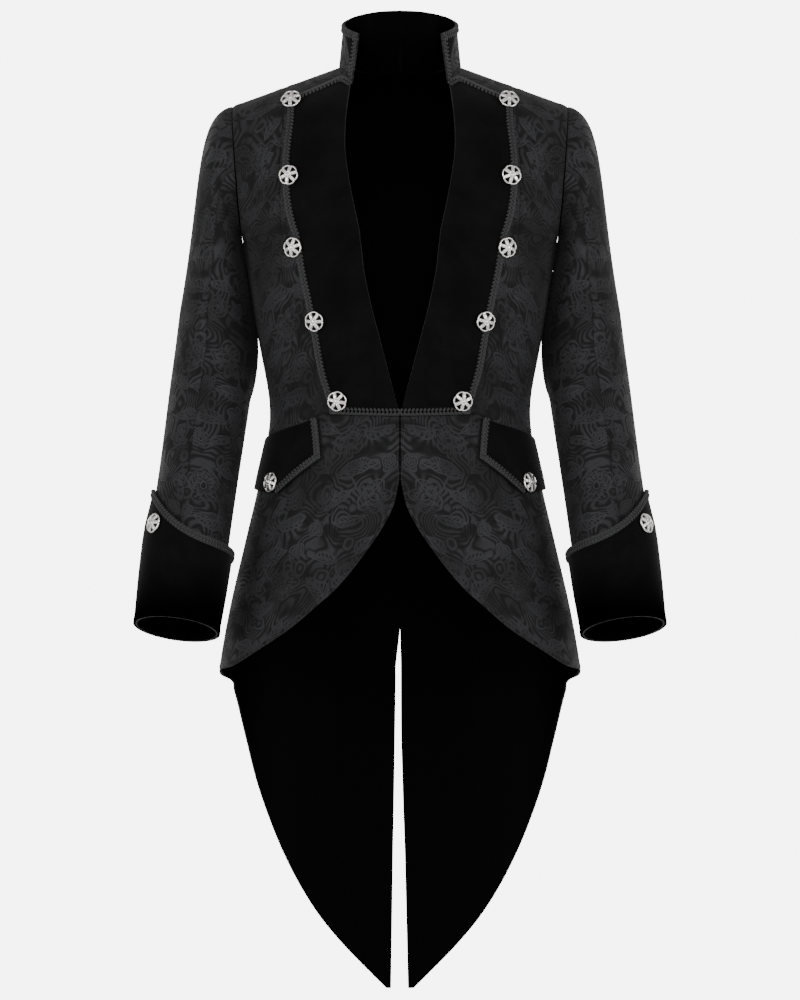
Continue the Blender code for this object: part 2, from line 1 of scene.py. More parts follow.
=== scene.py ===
"""The looks of a black brocade tailcoat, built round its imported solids.

Metres, +Z up. The front faces -Y and the wearer's left is +X. Every cloth piece is a thin
shell on the coat's own surface, body(u, q):
  u  0 at the centre line, 1 at the armhole or the side seam
  q  the length below the shoulder seam, minus on the front and plus on the back
A layer that lies on a panel is made from the panel's own points, moved out.
"""

import json
import math

import bpy
import numpy as np
from mathutils import Matrix, Vector
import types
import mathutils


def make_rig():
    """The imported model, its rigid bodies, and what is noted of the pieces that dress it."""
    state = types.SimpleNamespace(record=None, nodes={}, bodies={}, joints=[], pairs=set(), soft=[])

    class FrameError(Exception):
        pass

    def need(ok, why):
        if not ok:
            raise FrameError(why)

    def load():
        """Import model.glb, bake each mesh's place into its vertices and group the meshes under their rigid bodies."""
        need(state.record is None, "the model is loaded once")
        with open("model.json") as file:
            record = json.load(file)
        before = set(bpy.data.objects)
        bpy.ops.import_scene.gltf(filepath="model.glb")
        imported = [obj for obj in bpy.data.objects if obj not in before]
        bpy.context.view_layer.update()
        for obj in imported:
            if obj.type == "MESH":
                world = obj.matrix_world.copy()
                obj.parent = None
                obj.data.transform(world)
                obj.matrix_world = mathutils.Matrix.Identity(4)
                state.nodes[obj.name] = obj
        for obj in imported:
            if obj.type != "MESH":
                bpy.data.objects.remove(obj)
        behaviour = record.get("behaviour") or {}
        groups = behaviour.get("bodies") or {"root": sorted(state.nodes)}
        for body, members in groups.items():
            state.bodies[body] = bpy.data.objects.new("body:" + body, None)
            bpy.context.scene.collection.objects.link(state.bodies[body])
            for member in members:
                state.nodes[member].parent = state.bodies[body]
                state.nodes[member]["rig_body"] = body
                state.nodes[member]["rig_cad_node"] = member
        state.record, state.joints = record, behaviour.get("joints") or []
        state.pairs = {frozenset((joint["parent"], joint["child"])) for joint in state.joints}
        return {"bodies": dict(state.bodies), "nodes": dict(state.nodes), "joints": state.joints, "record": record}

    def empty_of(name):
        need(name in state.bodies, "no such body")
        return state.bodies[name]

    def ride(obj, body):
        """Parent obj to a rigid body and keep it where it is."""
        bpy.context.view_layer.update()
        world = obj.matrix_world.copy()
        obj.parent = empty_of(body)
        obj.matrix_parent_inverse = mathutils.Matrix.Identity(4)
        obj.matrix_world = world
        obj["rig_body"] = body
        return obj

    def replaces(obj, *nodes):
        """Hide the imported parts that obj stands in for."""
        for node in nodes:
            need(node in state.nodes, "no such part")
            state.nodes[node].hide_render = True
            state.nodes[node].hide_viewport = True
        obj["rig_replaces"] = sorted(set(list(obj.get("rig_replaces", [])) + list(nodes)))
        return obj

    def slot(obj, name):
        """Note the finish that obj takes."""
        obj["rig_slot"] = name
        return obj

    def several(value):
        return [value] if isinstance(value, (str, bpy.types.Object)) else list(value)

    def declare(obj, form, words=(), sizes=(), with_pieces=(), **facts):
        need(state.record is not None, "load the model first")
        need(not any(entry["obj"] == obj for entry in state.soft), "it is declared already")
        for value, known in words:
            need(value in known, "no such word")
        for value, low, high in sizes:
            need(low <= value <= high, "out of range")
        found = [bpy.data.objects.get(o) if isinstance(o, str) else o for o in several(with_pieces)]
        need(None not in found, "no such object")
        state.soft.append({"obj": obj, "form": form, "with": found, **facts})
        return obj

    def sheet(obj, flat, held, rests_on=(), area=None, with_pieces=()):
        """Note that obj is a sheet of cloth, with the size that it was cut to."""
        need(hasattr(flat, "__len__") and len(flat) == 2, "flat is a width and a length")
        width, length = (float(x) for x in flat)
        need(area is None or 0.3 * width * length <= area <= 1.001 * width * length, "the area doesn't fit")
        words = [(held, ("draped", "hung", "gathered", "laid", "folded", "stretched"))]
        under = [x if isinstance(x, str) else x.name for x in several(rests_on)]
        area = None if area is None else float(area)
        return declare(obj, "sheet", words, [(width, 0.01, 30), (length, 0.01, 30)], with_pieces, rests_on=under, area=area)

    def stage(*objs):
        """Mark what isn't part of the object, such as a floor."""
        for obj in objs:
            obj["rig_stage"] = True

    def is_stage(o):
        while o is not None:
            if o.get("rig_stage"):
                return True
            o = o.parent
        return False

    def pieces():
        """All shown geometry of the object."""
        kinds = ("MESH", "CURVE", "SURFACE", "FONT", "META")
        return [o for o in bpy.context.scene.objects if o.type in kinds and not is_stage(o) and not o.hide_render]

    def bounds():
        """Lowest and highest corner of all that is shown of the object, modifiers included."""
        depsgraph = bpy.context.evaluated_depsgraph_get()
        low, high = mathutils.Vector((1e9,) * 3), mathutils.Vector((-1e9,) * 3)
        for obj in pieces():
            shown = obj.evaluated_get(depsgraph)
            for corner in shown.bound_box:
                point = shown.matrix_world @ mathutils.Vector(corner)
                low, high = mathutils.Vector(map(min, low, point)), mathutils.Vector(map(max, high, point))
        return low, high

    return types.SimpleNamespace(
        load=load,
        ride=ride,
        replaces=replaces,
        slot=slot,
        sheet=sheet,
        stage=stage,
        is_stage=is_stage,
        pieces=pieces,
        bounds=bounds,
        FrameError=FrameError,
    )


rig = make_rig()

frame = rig.load()
cad_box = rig.bounds()

# ---------------------------------------------------------------- cloth sizes
CLOTH = 0.0020              # wall of the brocade and the velvet
LINING = 0.0012
BRAID = 0.0006              # the braid's flat ground, under its cords
SEAM = 0.0003               # air between two pieces that are sewn together
LIFT = 0.0003               # air between two layers
BRAID_WIDTH = 0.0090
FLAP_LIFT = 0.0014          # air under a flap at its top
FLAP_STAND = 0.0015         # how much further its lower edge stands off
BUTTON_RADIUS = 0.0125
BUTTON_HEIGHT = 0.0060
HOLES = 6                   # pierced in each button
FULL_TURN = 2 * math.pi
HAIR = 1e-6                 # a lift that marks points as a wall's inner face
CENTRE_GAP = 0.0008         # from the centre line to each front edge
BRAID_RISE = BRAID + 0.0003     # how far the middle of the cords lies above the velvet
HEM_STITCH = 0.0064         # distance of the hem's stitches from its edge
STITCH_LIFT = 0.0001
CUFF_SOFTNESS = 0.0008      # how far the cuff's velvet swells and dips
COLLAR_TUCK = 0.0034        # how far the collar's foot is sewn down inside the nape
CELL = 0.0048               # size of a cell of the finest mesh
SHARP = math.radians(50)    # an edge that turns more than this stays crisp

# ------------------------------------------------------------- body landmarks
ARM_DEPTH = 0.168           # from the shoulder tip down to the underarm
TIP_Z = -0.047              # the shoulder tip
TIP_Y = 0.012
UNDERARM_Z = TIP_Z - ARM_DEPTH
ARM_FRONT = 0.062           # how far the armhole bows forward and back
ARM_BACK = 0.068
SHOULDER_TURN = 50          # degrees that a section turns from the centre to its edge
SIDE_TURN = 90
ROUND = 2 / 2.2             # power of the sections, a little squarer than an ellipse
WAIST = 0.3705              # depths and places of the neck, waist and hem
NECK_X = 0.0765
FRONT_NECK = 0.0224
NAPE = 0.0240
LAPEL_TOP = 0.0275          # depth of the lapel's top edge at its outer end
LAPEL_RISE = 0.0095         # how much higher it lies beside the collar
LAPEL_BELOW_NECK = 0.0019
SIDE_HEM = 0.684
TAIL_END = 1.0856

# Half width of the coat. Columns: depth below the shoulder tip, x.
SIDE = ((0, .204), (.034, .2035), (.067, .2005), (.101, .1965), (.134, .193), (.168, .1895),
        (.228, .181), (.293, .170), (.373, .158), (.453, .170), (.533, .1885), (.613, .207),
        (.683, .219), (.813, .226), (.953, .230), (1.088, .232))

# Centre front and centre back lines. Columns: q, y, z.
MIDDLE = ((-.75, -.143, -.797), (-.683, -.140, -.730), (-.613, -.135, -.660),
          (-.533, -.127, -.583), (-.453, -.117, -.505), (-.373, -.112, -.4285),
          (-.293, -.121, -.344), (-.228, -.128, -.277), (-.168, -.130, -.217),
          (-.134, -.127, -.178), (-.101, -.118, -.135), (-.067, -.100, -.085),
          (-.034, -.070, -.031), (0, .010, .0272), (.034, .088, -.014), (.067, .108, -.070),
          (.101, .117, -.123), (.134, .120, -.172), (.168, .118, -.215), (.228, .110, -.275),
          (.293, .099, -.340), (.373, .090, -.420), (.453, .100, -.500), (.533, .116, -.580),
          (.613, .128, -.660), (.683, .134, -.730), (.813, .137, -.860), (.953, .134, -1.0),
          (1.088, .128, -1.135))

# Lines on the front. Columns: depth, x of the front edge, of the lapel's outer
# edge and of the princess seam.
FRONT_LINES = ((.0000, .0550, .1345, .1400), (.0275, .0592, .1350, .1402),
               (.0514, .0647, .1352, .1410), (.0756, .0657, .1392, .1442),
               (.1096, .0596, .1385, .1445), (.1498, .0500, .1294, .1430),
               (.1853, .0452, .1236, .1438), (.2193, .0405, .1166, .1402),
               (.2624, .0298, .1074, .1272), (.3190, .0143, .0974, .1052),
               (.3705, .0008, .0825, .0880), (.4308, .0008, .0800, .0842),
               (.5491, .0008, .0800, .0846), (.6900, .0008, .0800, .0850))

# Cutaway hem of the front. Columns: u, depth.
FRONT_HEM = ((0, .4444), (.006, .4629), (.014, .4752), (.029, .4874), (.043, .4995),
             (.087, .5240), (.140, .5487), (.195, .5736), (.268, .5983), (.349, .6227),
             (.482, .6469), (.652, .6716), (.780, .6820), (1, SIDE_HEM))

# Outer edge of a tail. Columns: depth, u.
TAIL_EDGE = ((SIDE_HEM, 1), (.7004, .765), (.7129, .729), (.7254, .698), (.7628, .638),
             (.8002, .589), (.8377, .537), (.8753, .477), (.9129, .417), (.9505, .351),
             (.9882, .278), (1.0258, .189), (1.0632, .092), (TAIL_END, .036))

# Inner edges of the tails, which part below the back seam. Columns: depth, x on
# the wearer's left, x on the right.
VENT = ((0, .0002, .0002), (.641, .0002, .0002), (.653, .0010, .0045), (.765, .0013, .0062),
        (.852, .0037, .0075), (.915, .0060, .0087), (1.0, .0080, .0099), (TAIL_END, .0100, .0112))

# Stand collar's top edge, from the front corner to the centre back. Columns:
# share of the way round, x, y, z.
COLLAR_TOP = ((0, .0505, -.0420, .0370), (.18, .0635, -.0200, .0440),
              (.36, .0690, .0060, .0520), (.55, .0645, .0340, .0605),
              (.74, .0475, .0560, .0692), (.88, .0245, .0655, .0740),
              (1, .0000, .0685, .0755))

# Velvet patch and the narrow braid beside it on the collar's front. Columns: share
# of the collar's height, then shares of the way round: the patch's front and rear
# edges, and the braid's rear edge.
COLLAR_PATCH = ((.34, .060, .072, .098), (.50, .062, .110, .138), (.66, .065, .150, .180),
                (.86, .068, .205, .237))

# Sleeve from the upper arm to the wrist. Columns: z, x, y of the ring's centre,
# its width, its depth, how much its outer side and its front are raised (degrees).
SLEEVE = ((-.2957, .2232, .0200, .0905, .1450, 0, 0),
          (-.3444, .2240, .0130, .1000, .1370, 3, 2),
          (-.3931, .2303, .0020, .0993, .1310, 5, 5),
          (-.4417, .2365, -.0110, .0978, .1250, 7, 9),
          (-.4903, .2428, -.0260, .0964, .1190, 7, 13),
          (-.5386, .2493, -.0420, .0962, .1130, 7, 15),
          (-.5866, .2557, -.0580, .0966, .1080, 7, 16),
          (-.6344, .2621, -.0730, .0978, .1050, 7, 17),
          (-.6810, .2678, -.0870, .0992, .1030, 7, 17))
SLEEVE_TWIST = math.radians(11)     # turns the front seam to the outer side
FIRST_RING = 0.12           # length of the sleeve's first ring of cells, as a share
CUFF_TOP = 0.1000           # height of the cuff at its inner side, above the wrist
CUFF_PEAK = 0.0620          # how much higher its outer side reaches
CUFF_FLARE = 0.0045         # how far it stands off the sleeve at most

# Share of that distance at heights above the wrist; the peak lies on the sleeve again.
CUFF_STAND = ((0, 0), (.100, 1), (.118, 1), (.164, .15))

# Pocket flap. Columns: share of the way from its front edge to its back edge,
# depth of its upper edge and of its lower edge.
FLAP = ((0, .3765, .4250), (.16, .3850, .4478), (.325, .3920, .4712), (.5, .3985, .4700),
        (.75, .4060, .4670), (1, .4110, .4640))
FLAP_POINT = .325           # share at the flap's point, where its braid ends
FLAP_FRONT = (.404, .360)   # u of its front edge, at the top and the bottom
FLAP_BACK = 1.13            # past the side seam, in the same measure

# Buttons on the lapel. Columns: x, depth.
LAPEL_BUTTONS = ((.1289, .0329), (.1313, .0948), (.1255, .1763), (.1003, .2638), (.0735, .3549))
HANG = (.50, .12, 0, 0, 0)                  # how far each tips forward on its shank
FLAP_BUTTON = (.675, .4580)                 # u, depth
CUFF_BUTTON = (math.radians(54), 0.112)     # angle round the sleeve, height above the wrist

# -------------------------------------------------------- where the cuts lie
ARM_ROWS_FRONT = (0, .014, LAPEL_TOP, .0345, .0505, .067, .083, .104, .125, .1465, ARM_DEPTH)
ARM_ROWS_BACK = (0, .021, .042, .063, .084, .105, .126, .147, ARM_DEPTH)
CHEST_ROWS = (.207, .246, .285, .324, WAIST - BRAID_WIDTH, WAIST)
SKIRT_PARTS = 7
TAIL_ROWS = (.7004, .7129, .735, .775, .820, .865, .910, .955, .995, 1.030, 1.062, TAIL_END)
FRONT_SEAM = math.pi * .083 / ARM_DEPTH     # sleeve seams, as angles round the armhole
BACK_SEAM = -math.pi * .105 / ARM_DEPTH


def smooth_step(t, start, start_slope, end, end_slope):
    """A smooth way between two values with given slopes, at the share t."""
    t2, t3 = t * t, t * t * t
    return ((2 * t3 - 3 * t2 + 1) * start + (t3 - 2 * t2 + t) * start_slope
            + (3 * t2 - 2 * t3) * end + (t3 - t2) * end_slope)


class Curve:
    """A smooth curve through the rows of a table, read by its first column."""

    def __init__(self, rows):
        table = np.array(rows, float)
        self.keys = table[:, 0]
        self.values = table[:, 1:]
        self.slopes = np.gradient(self.values, self.keys, axis=0)

    def __call__(self, key):
        key = np.clip(np.asarray(key, float), self.keys[0], self.keys[-1])
        i = np.clip(np.searchsorted(self.keys, key) - 1, 0, len(self.keys) - 2)
        step = (self.keys[i + 1] - self.keys[i])[..., None]
        t = (key - self.keys[i])[..., None] / step
        return smooth_step(t, self.values[i], step * self.slopes[i],
                           self.values[i + 1], step * self.slopes[i + 1])


side_x = Curve(SIDE)
middle = Curve(MIDDLE)
front_lines = Curve(FRONT_LINES)
collar_top = Curve(COLLAR_TOP)
sleeve_ring = Curve([(i, *row) for i, row in enumerate(SLEEVE)])
WRIST = len(SLEEVE) - 1
RING_STEP = (SLEEVE[0][0] - SLEEVE[-1][0]) / WRIST


def between(rows, key, column=1):
    """Straight interpolation in one column of a table."""
    return float(np.interp(key, [row[0] for row in rows], [row[column] for row in rows]))


def unit(vectors):
    return vectors / np.maximum(np.linalg.norm(vectors, axis=-1, keepdims=True), 1e-12)


# ---------------------------------------------------------------- the surface
def turn_at(depth):
    share = np.minimum(depth / ARM_DEPTH, 1)
    return np.radians(SHOULDER_TURN + (SIDE_TURN - SHOULDER_TURN) * share * share)


def edge(q):
    """The armhole above the underarm, and the side line below it."""
    depth = np.abs(q)
    share = np.minimum(depth / ARM_DEPTH, 1)
    angle = math.pi * share
    bow = np.where(np.less(q, 0), -ARM_FRONT, ARM_BACK)
    y = TIP_Y * (1 - share) + bow * np.sin(angle)
    above = (TIP_Z + UNDERARM_Z + (TIP_Z - UNDERARM_Z) * np.cos(angle)) / 2
    z = np.where(depth >= ARM_DEPTH, TIP_Z - depth, above)
    return np.stack((side_x(depth)[..., 0], y, z), axis=-1)


def body(u, q):
    """Points of the coat's outer face."""
    u, q = np.broadcast_arrays(np.asarray(u, float), np.asarray(q, float))
    side = edge(q)
    mid = middle(q)
    turn = turn_at(np.abs(q))
    across = np.abs(np.sin(turn * u)) ** ROUND / np.sin(turn) ** ROUND
    rim = np.maximum(np.cos(turn), 0) ** ROUND
    along = (np.maximum(np.cos(turn * u), 0) ** ROUND - rim) / (1 - rim)
    share = np.minimum(np.abs(q) / ARM_DEPTH, 1)
    x = np.copysign(side[..., 0] * across, u)
    y = side[..., 1] + (mid[..., 0] - side[..., 1]) * along
    z = mid[..., 1] + (side[..., 2] - mid[..., 1]) * across ** (1 + share * share)
    return np.stack((x, y, z), axis=-1)


def u_at(depth, x):
    """The u of a point of the body that lies x from the centre."""
    turn = turn_at(depth)
    across = np.minimum(np.abs(x) / side_x(depth)[..., 0], 1)
    inner = np.minimum((across * np.sin(turn) ** ROUND) ** (1 / ROUND), 1)
    return np.copysign(np.arcsin(inner) / turn, x)


def body_normal(u, q, step=1e-3):
    outer = np.minimum(u + step, 1)
    along_u = body(outer, q) - body(outer - 2 * step, q)
    along_q = body(u, q + step) - body(u, q - step)
    return unit(np.cross(along_u, along_q))


def smooth_steps(table, counts, axis):
    """Fills in a table of places along one axis, smoothly, with so many steps a cell."""
    table = np.moveaxis(np.asarray(table, float), axis, 0)
    slopes = np.gradient(table, axis=0)
    filled = []
    for i, count in enumerate(counts):
        filled += [smooth_step(t, table[i], slopes[i], table[i + 1], slopes[i + 1])
                   for t in np.arange(count) / count]
    filled.append(table[-1])
    return np.moveaxis(np.array(filled), 0, axis)


def finer(cells, place=body, cell=CELL):
    """Fills in a table of (u, q) places until its cells are as small as asked."""
    cells = np.asarray(cells, float)
    points = place(cells[..., 0], cells[..., 1])
    for axis in (0, 1):
        lengths = np.linalg.norm(np.diff(points, axis=axis), axis=-1).max(axis=1 - axis)
        counts = np.maximum(np.ceil(lengths / cell).astype(int), 1)
        cells = smooth_steps(cells, counts, axis)
        points = place(cells[..., 0], cells[..., 1])
    return cells


# ------------------------------------------------------- length along the cloth
MAP_U = np.linspace(0, 1, 61)
MAP_Q = np.linspace(-.70, 1.10, 181)


def lengths_from_start(points, axis):
    """Metres from the start of each line of a grid, along one axis."""
    steps = np.linalg.norm(np.diff(points, axis=axis), axis=-1)
    return np.insert(np.cumsum(steps, axis=axis), 0, 0, axis=axis)


def make_cloth_map():
    """Lengths across and down the cloth at even steps of u and q."""
    points = body(MAP_U[None, :], MAP_Q[:, None])
    down = lengths_from_start(points, 0)
    shoulder = int(np.argmin(np.abs(MAP_Q)))
    return lengths_from_start(points, 1), np.abs(down - down[shoulder])


ACROSS, DOWN = make_cloth_map()


def cloth_place(u, q):
    """Metres across and down the flat cloth for places on the body."""
    column = np.clip(np.abs(u), 0, 1) * (len(MAP_U) - 1)
    row = np.clip((q - MAP_Q[0]) / (MAP_Q[1] - MAP_Q[0]), 0, len(MAP_Q) - 1)
    i = np.minimum(row.astype(int), len(MAP_Q) - 2)
    j = np.minimum(column.astype(int), len(MAP_U) - 2)
    a, b = row - i, column - j
    found = [table[i, j] * (1 - a) * (1 - b) + table[i + 1, j] * a * (1 - b)
             + table[i, j + 1] * (1 - a) * b + table[i + 1, j + 1] * a * b
             for table in (ACROSS, DOWN)]
    found[0] = np.copysign(found[0], u)
    return np.stack(found, axis=-1)


def lengths_along(points):
    """Metres across from the middle column and down to the last row of a grid."""
    across, down = lengths_from_start(points, 1), lengths_from_start(points, 0)
    middle_column = points.shape[1] // 2
    return np.stack((across - across[:, middle_column, None], down - down[-1:]), axis=-1)


# -------------------------------------------------------------------- creases
# Soft folds pressed or pulled into the cloth. Columns: side (1 is the wearer's
# left), start x y z, end x y z, half width, height (minus is a trough).
CREASES = (
    # under the arms, where the body is pulled towards the armhole
    (1, .176, -.060, -.235, .140, -.105, -.275, .011, -.0026),
    (1, .170, -.070, -.262, .128, -.112, -.318, .010, .0018),
    (-1, .174, -.062, -.240, .146, -.098, -.292, .012, -.0028),
    (-1, .168, -.070, -.275, .120, -.116, -.322, .009, .0016),
    # where the sleeves lie against the sides
    (1, .199, .002, -.193, .199, .002, -.252, .010, .0078),
    (1, .186, .008, -.298, .186, .008, -.392, .010, .0088),
    (-1, .199, .000, -.195, .199, .004, -.254, .010, .0076),
    (-1, .186, .006, -.296, .187, .008, -.394, .010, .0086),
    # across the waist at the sides
    (1, .158, -.020, -.405, .112, -.090, -.428, .008, -.0020),
    (-1, .158, -.030, -.398, .104, -.096, -.414, .009, -.0018),
    (-1, .162, -.010, -.432, .130, -.070, -.450, .007, -.0015),
    # the skirts hang in one soft wave each
    (1, .120, -.100, -.500, .150, -.100, -.690, .018, .0022),
    (-1, .126, -.098, -.490, .142, -.108, -.700, .020, .0024),
    (1, .060, -.120, -.480, .074, -.130, -.600, .015, -.0014),
    (-1, .052, -.120, -.470, .080, -.128, -.610, .014, -.0012),
    # sleeve heads
    (1, .226, -.050, -.110, .252, -.040, -.200, .011, -.0016),
    (-1, .224, -.052, -.118, .250, -.036, -.215, .012, -.0018),
    (1, .215, .066, -.120, .245, .060, -.210, .012, -.0018),
    (-1, .216, .064, -.112, .246, .058, -.225, .012, -.0020),
    # elbows: folds from the inner bend round to the front and the back
    (1, .184, -.020, -.372, .246, -.062, -.402, .010, -.0034),
    (1, .186, -.012, -.418, .252, -.066, -.436, .009, -.0026),
    (1, .190, -.030, -.338, .232, -.062, -.352, .009, -.0022),
    (1, .270, .040, -.395, .222, .070, -.372, .010, -.0024),
    (1, .274, .026, -.440, .222, .052, -.428, .011, -.0022),
    (-1, .184, -.024, -.362, .240, -.064, -.396, .010, -.0032),
    (-1, .187, -.014, -.408, .256, -.064, -.428, .010, -.0028),
    (-1, .192, -.026, -.452, .238, -.078, -.470, .008, -.0018),
    (-1, .272, .042, -.385, .220, .072, -.366, .010, -.0026),
    (-1, .274, .024, -.446, .224, .050, -.436, .010, -.0020),
    # forearms, gentle
    (1, .214, -.060, -.500, .262, -.090, -.530, .012, -.0016),
    (-1, .212, -.062, -.510, .258, -.092, -.524, .012, -.0018),
    # the back: shoulder blades, waist and tails
    (1, .060, .112, -.110, .150, .086, -.150, .016, .0018),
    (-1, .064, .112, -.120, .152, .084, -.140, .016, .0016),
    (1, .030, .094, -.400, .120, .060, -.420, .010, -.0022),
    (-1, .026, .094, -.410, .126, .058, -.398, .010, -.0020),
    (1, .070, .120, -.560, .090, .128, -.960, .022, .0030),
    (-1, .064, .120, -.540, .084, .128, -.980, .022, .0032),
    (1, .130, .094, -.560, .150, .104, -.800, .016, -.0024),
    (-1, .136, .090, -.580, .146, .108, -.780, .016, -.0022),
)


def crease_height(points, side):
    """How far the creases lift each point along its normal."""
    height = np.zeros(points.shape[:-1])
    for which, *ends, width, lift in CREASES:
        if which != side:
            continue
        start, end = np.array(ends[:3]), np.array(ends[3:])
        way = end - start
        share = ((points - start) @ way) / (way @ way)
        near = start + np.clip(share, 0, 1)[..., None] * way
        distance = np.linalg.norm(points - near, axis=-1)
        fade = np.sin(math.pi * np.clip(.12 + .76 * share, 0, 1))
        height += lift * fade * np.exp(-(distance / width) ** 2)
    return height


# --------------------------------------------------------------- making shells
def new_piece(name, mesh, *materials):
    mesh.materials.clear()
    for material in materials:
        mesh.materials.append(material)
    obj = bpy.data.objects.new(name, mesh)
    bpy.context.scene.collection.objects.link(obj)
    return obj


def grid_faces(rows, columns, closed, keep):
    """Corners of the cells of a grid, and its outline as pairs of points."""
    faces, count = [], {}
    for i in range(rows - 1):
        for j in range(columns if closed else columns - 1):
            if keep is not None and not keep[i, j]:
                continue
            k = (j + 1) % columns
            face = (i * columns + j, i * columns + k, (i + 1) * columns + k, (i + 1) * columns + j)
            faces.append(face)
            for a, b in zip(face, face[1:] + face[:1]):
                count[a, b] = count.get((a, b), 0) + 1
    outline = [(a, b) for a, b in count if (b, a) not in count]
    return faces, outline


def shell(name, points, normals, wall, outside, inside, places, raise_by=0, side=1,
          closed=False, keep=None, relief=0):
    """A wall with an outer and an inner face, whose outer face runs through the points.

    raise_by lifts the whole wall; relief lifts its outer face alone; places are the
    metres across and down the cloth, kept as the piece's own map.
    """
    rows, columns = points.shape[:2]
    lift = np.broadcast_to(np.asarray(raise_by, float), (rows, columns))
    if np.isscalar(raise_by) and raise_by == 0:
        lift = np.full((rows, columns), -wall)
    fold = crease_height(points, side)
    inner = points + normals * (lift + fold)[..., None]
    outer = inner + normals * (wall + np.asarray(relief) * np.ones((rows, columns)))[..., None]
    mirror = np.array((side, 1, 1))
    count = rows * columns
    verts = np.concatenate((outer.reshape(-1, 3), inner.reshape(-1, 3))) * mirror
    faces, outline = grid_faces(rows, columns, closed, keep)
    all_faces = list(faces) + [tuple(v + count for v in reversed(face)) for face in faces]
    all_faces += [(b, a, a + count, b + count) for a, b in outline]
    sample = faces[len(faces) // 2]
    corner = [verts[v] for v in sample[:3]]
    facing = np.cross(corner[1] - corner[0], corner[2] - corner[0])
    if facing @ (normals.reshape(-1, 3)[sample[0]] * mirror) < 0:
        all_faces = [tuple(reversed(face)) for face in all_faces]
    used = np.unique(np.array([v for face in all_faces for v in face]))
    index = np.full(2 * count, -1)
    index[used] = np.arange(len(used))
    mesh = bpy.data.meshes.new(name)
    mesh.from_pydata(verts[used].tolist(), [], [[int(index[v]) for v in f] for f in all_faces])
    where = np.concatenate((places.reshape(-1, 2), places.reshape(-1, 2)))[used]
    corners = np.empty(len(mesh.loops), dtype=np.int32)
    mesh.loops.foreach_get("vertex_index", corners)
    layer = mesh.uv_layers.new(name="cloth")
    layer.data.foreach_set("uv", where[corners].astype(np.float32).ravel())
    obj = new_piece(name, mesh, outside, inside)
    slots = np.zeros(len(mesh.polygons), dtype=np.int32)
    slots[len(faces):2 * len(faces)] = 1
    mesh.polygons.foreach_set("material_index", slots)
    mesh.shade_smooth()
    mesh.set_sharp_from_angle(angle=SHARP)
    return obj


def cut_size(points, keep=None):
    """Width, length and area of the flat cut of a grid."""
    across = np.linalg.norm(np.diff(points, axis=1), axis=-1).sum(axis=1).max()
    down = np.linalg.norm(np.diff(points, axis=0), axis=-1).sum(axis=0).max()
    a, b = points[1:, 1:] - points[:-1, :-1], points[1:, :-1] - points[:-1, 1:]
    cells = np.linalg.norm(np.cross(a, b), axis=-1) / 2
    area = cells.sum() if keep is None else cells[np.asarray(keep)].sum()
    return (float(across), float(down)), float(area)


# ---------------------------------------------------------------- node helpers
def linear(colour):
    """Turns an sRGB hex value to the linear colour that a shader takes."""
    parts = [int(colour[i:i + 2], 16) / 255 for i in (0, 2, 4)]
    return [p / 12.92 if p <= .04045 else ((p + .055) / 1.055) ** 2.4 for p in parts] + [1]


def feed(tree, node, values):
    """Links or sets a node's inputs; a node stands for its first output."""
    for name, value in values.items():
        if isinstance(value, bpy.types.Node):
            value = value.outputs[0]
        if isinstance(value, bpy.types.NodeSocket):
            tree.links.new(value, node.inputs[name])
        else:
            node.inputs[name].default_value = value


def add(tree, kind, *values, inputs=None, **settings):
    """Adds a node with its settings. Values fill its inputs in order."""
    made = tree.nodes.new(kind)
    for name, value in settings.items():
        setattr(made, name, value)
    feed(tree, made, {i: value for i, value in enumerate(values) if value is not None})
    feed(tree, made, inputs or {})
    return made


def new_group(name, kind, takes, gives):
    """A node group with its sockets; takes holds (name, socket type, default)."""
    tree = bpy.data.node_groups.new(name, kind)
    for label, socket, value in takes:
        made = tree.interface.new_socket(label, in_out="INPUT", socket_type=socket)
        if value is not None:
            made.default_value = value
    for label, socket in gives:
        tree.interface.new_socket(label, in_out="OUTPUT", socket_type=socket)
    return tree, tree.nodes.new("NodeGroupInput").outputs, tree.nodes.new("NodeGroupOutput").inputs


MATH = "ShaderNodeMath"
RANGE = "ShaderNodeMapRange"
VECTOR = "ShaderNodeVectorMath"
NOISE = "ShaderNodeTexNoise"
MIX = "ShaderNodeMix"
BUMP = "ShaderNodeBump"
FLOAT = "NodeSocketFloat"
LINE = 2.3                  # mm, a woven line of the figure
VEIN = 6.2                  # mm, between the veins of a leaf
STROKES = 0.85              # strength of the curved lines between the motifs
STROKE_WAVES = 21           # lines over the whole range of the noise that bends them
SCROLL = 31                 # mm, between the small scrolls
SCROLL_LINE = 6.0           # mm, between the rings of a scroll
DRIFT = 16                  # mm, how far the weave's unevenness shifts the figure
FIGURE = 1080.0             # millimetres of the drawn figure on a metre of cloth


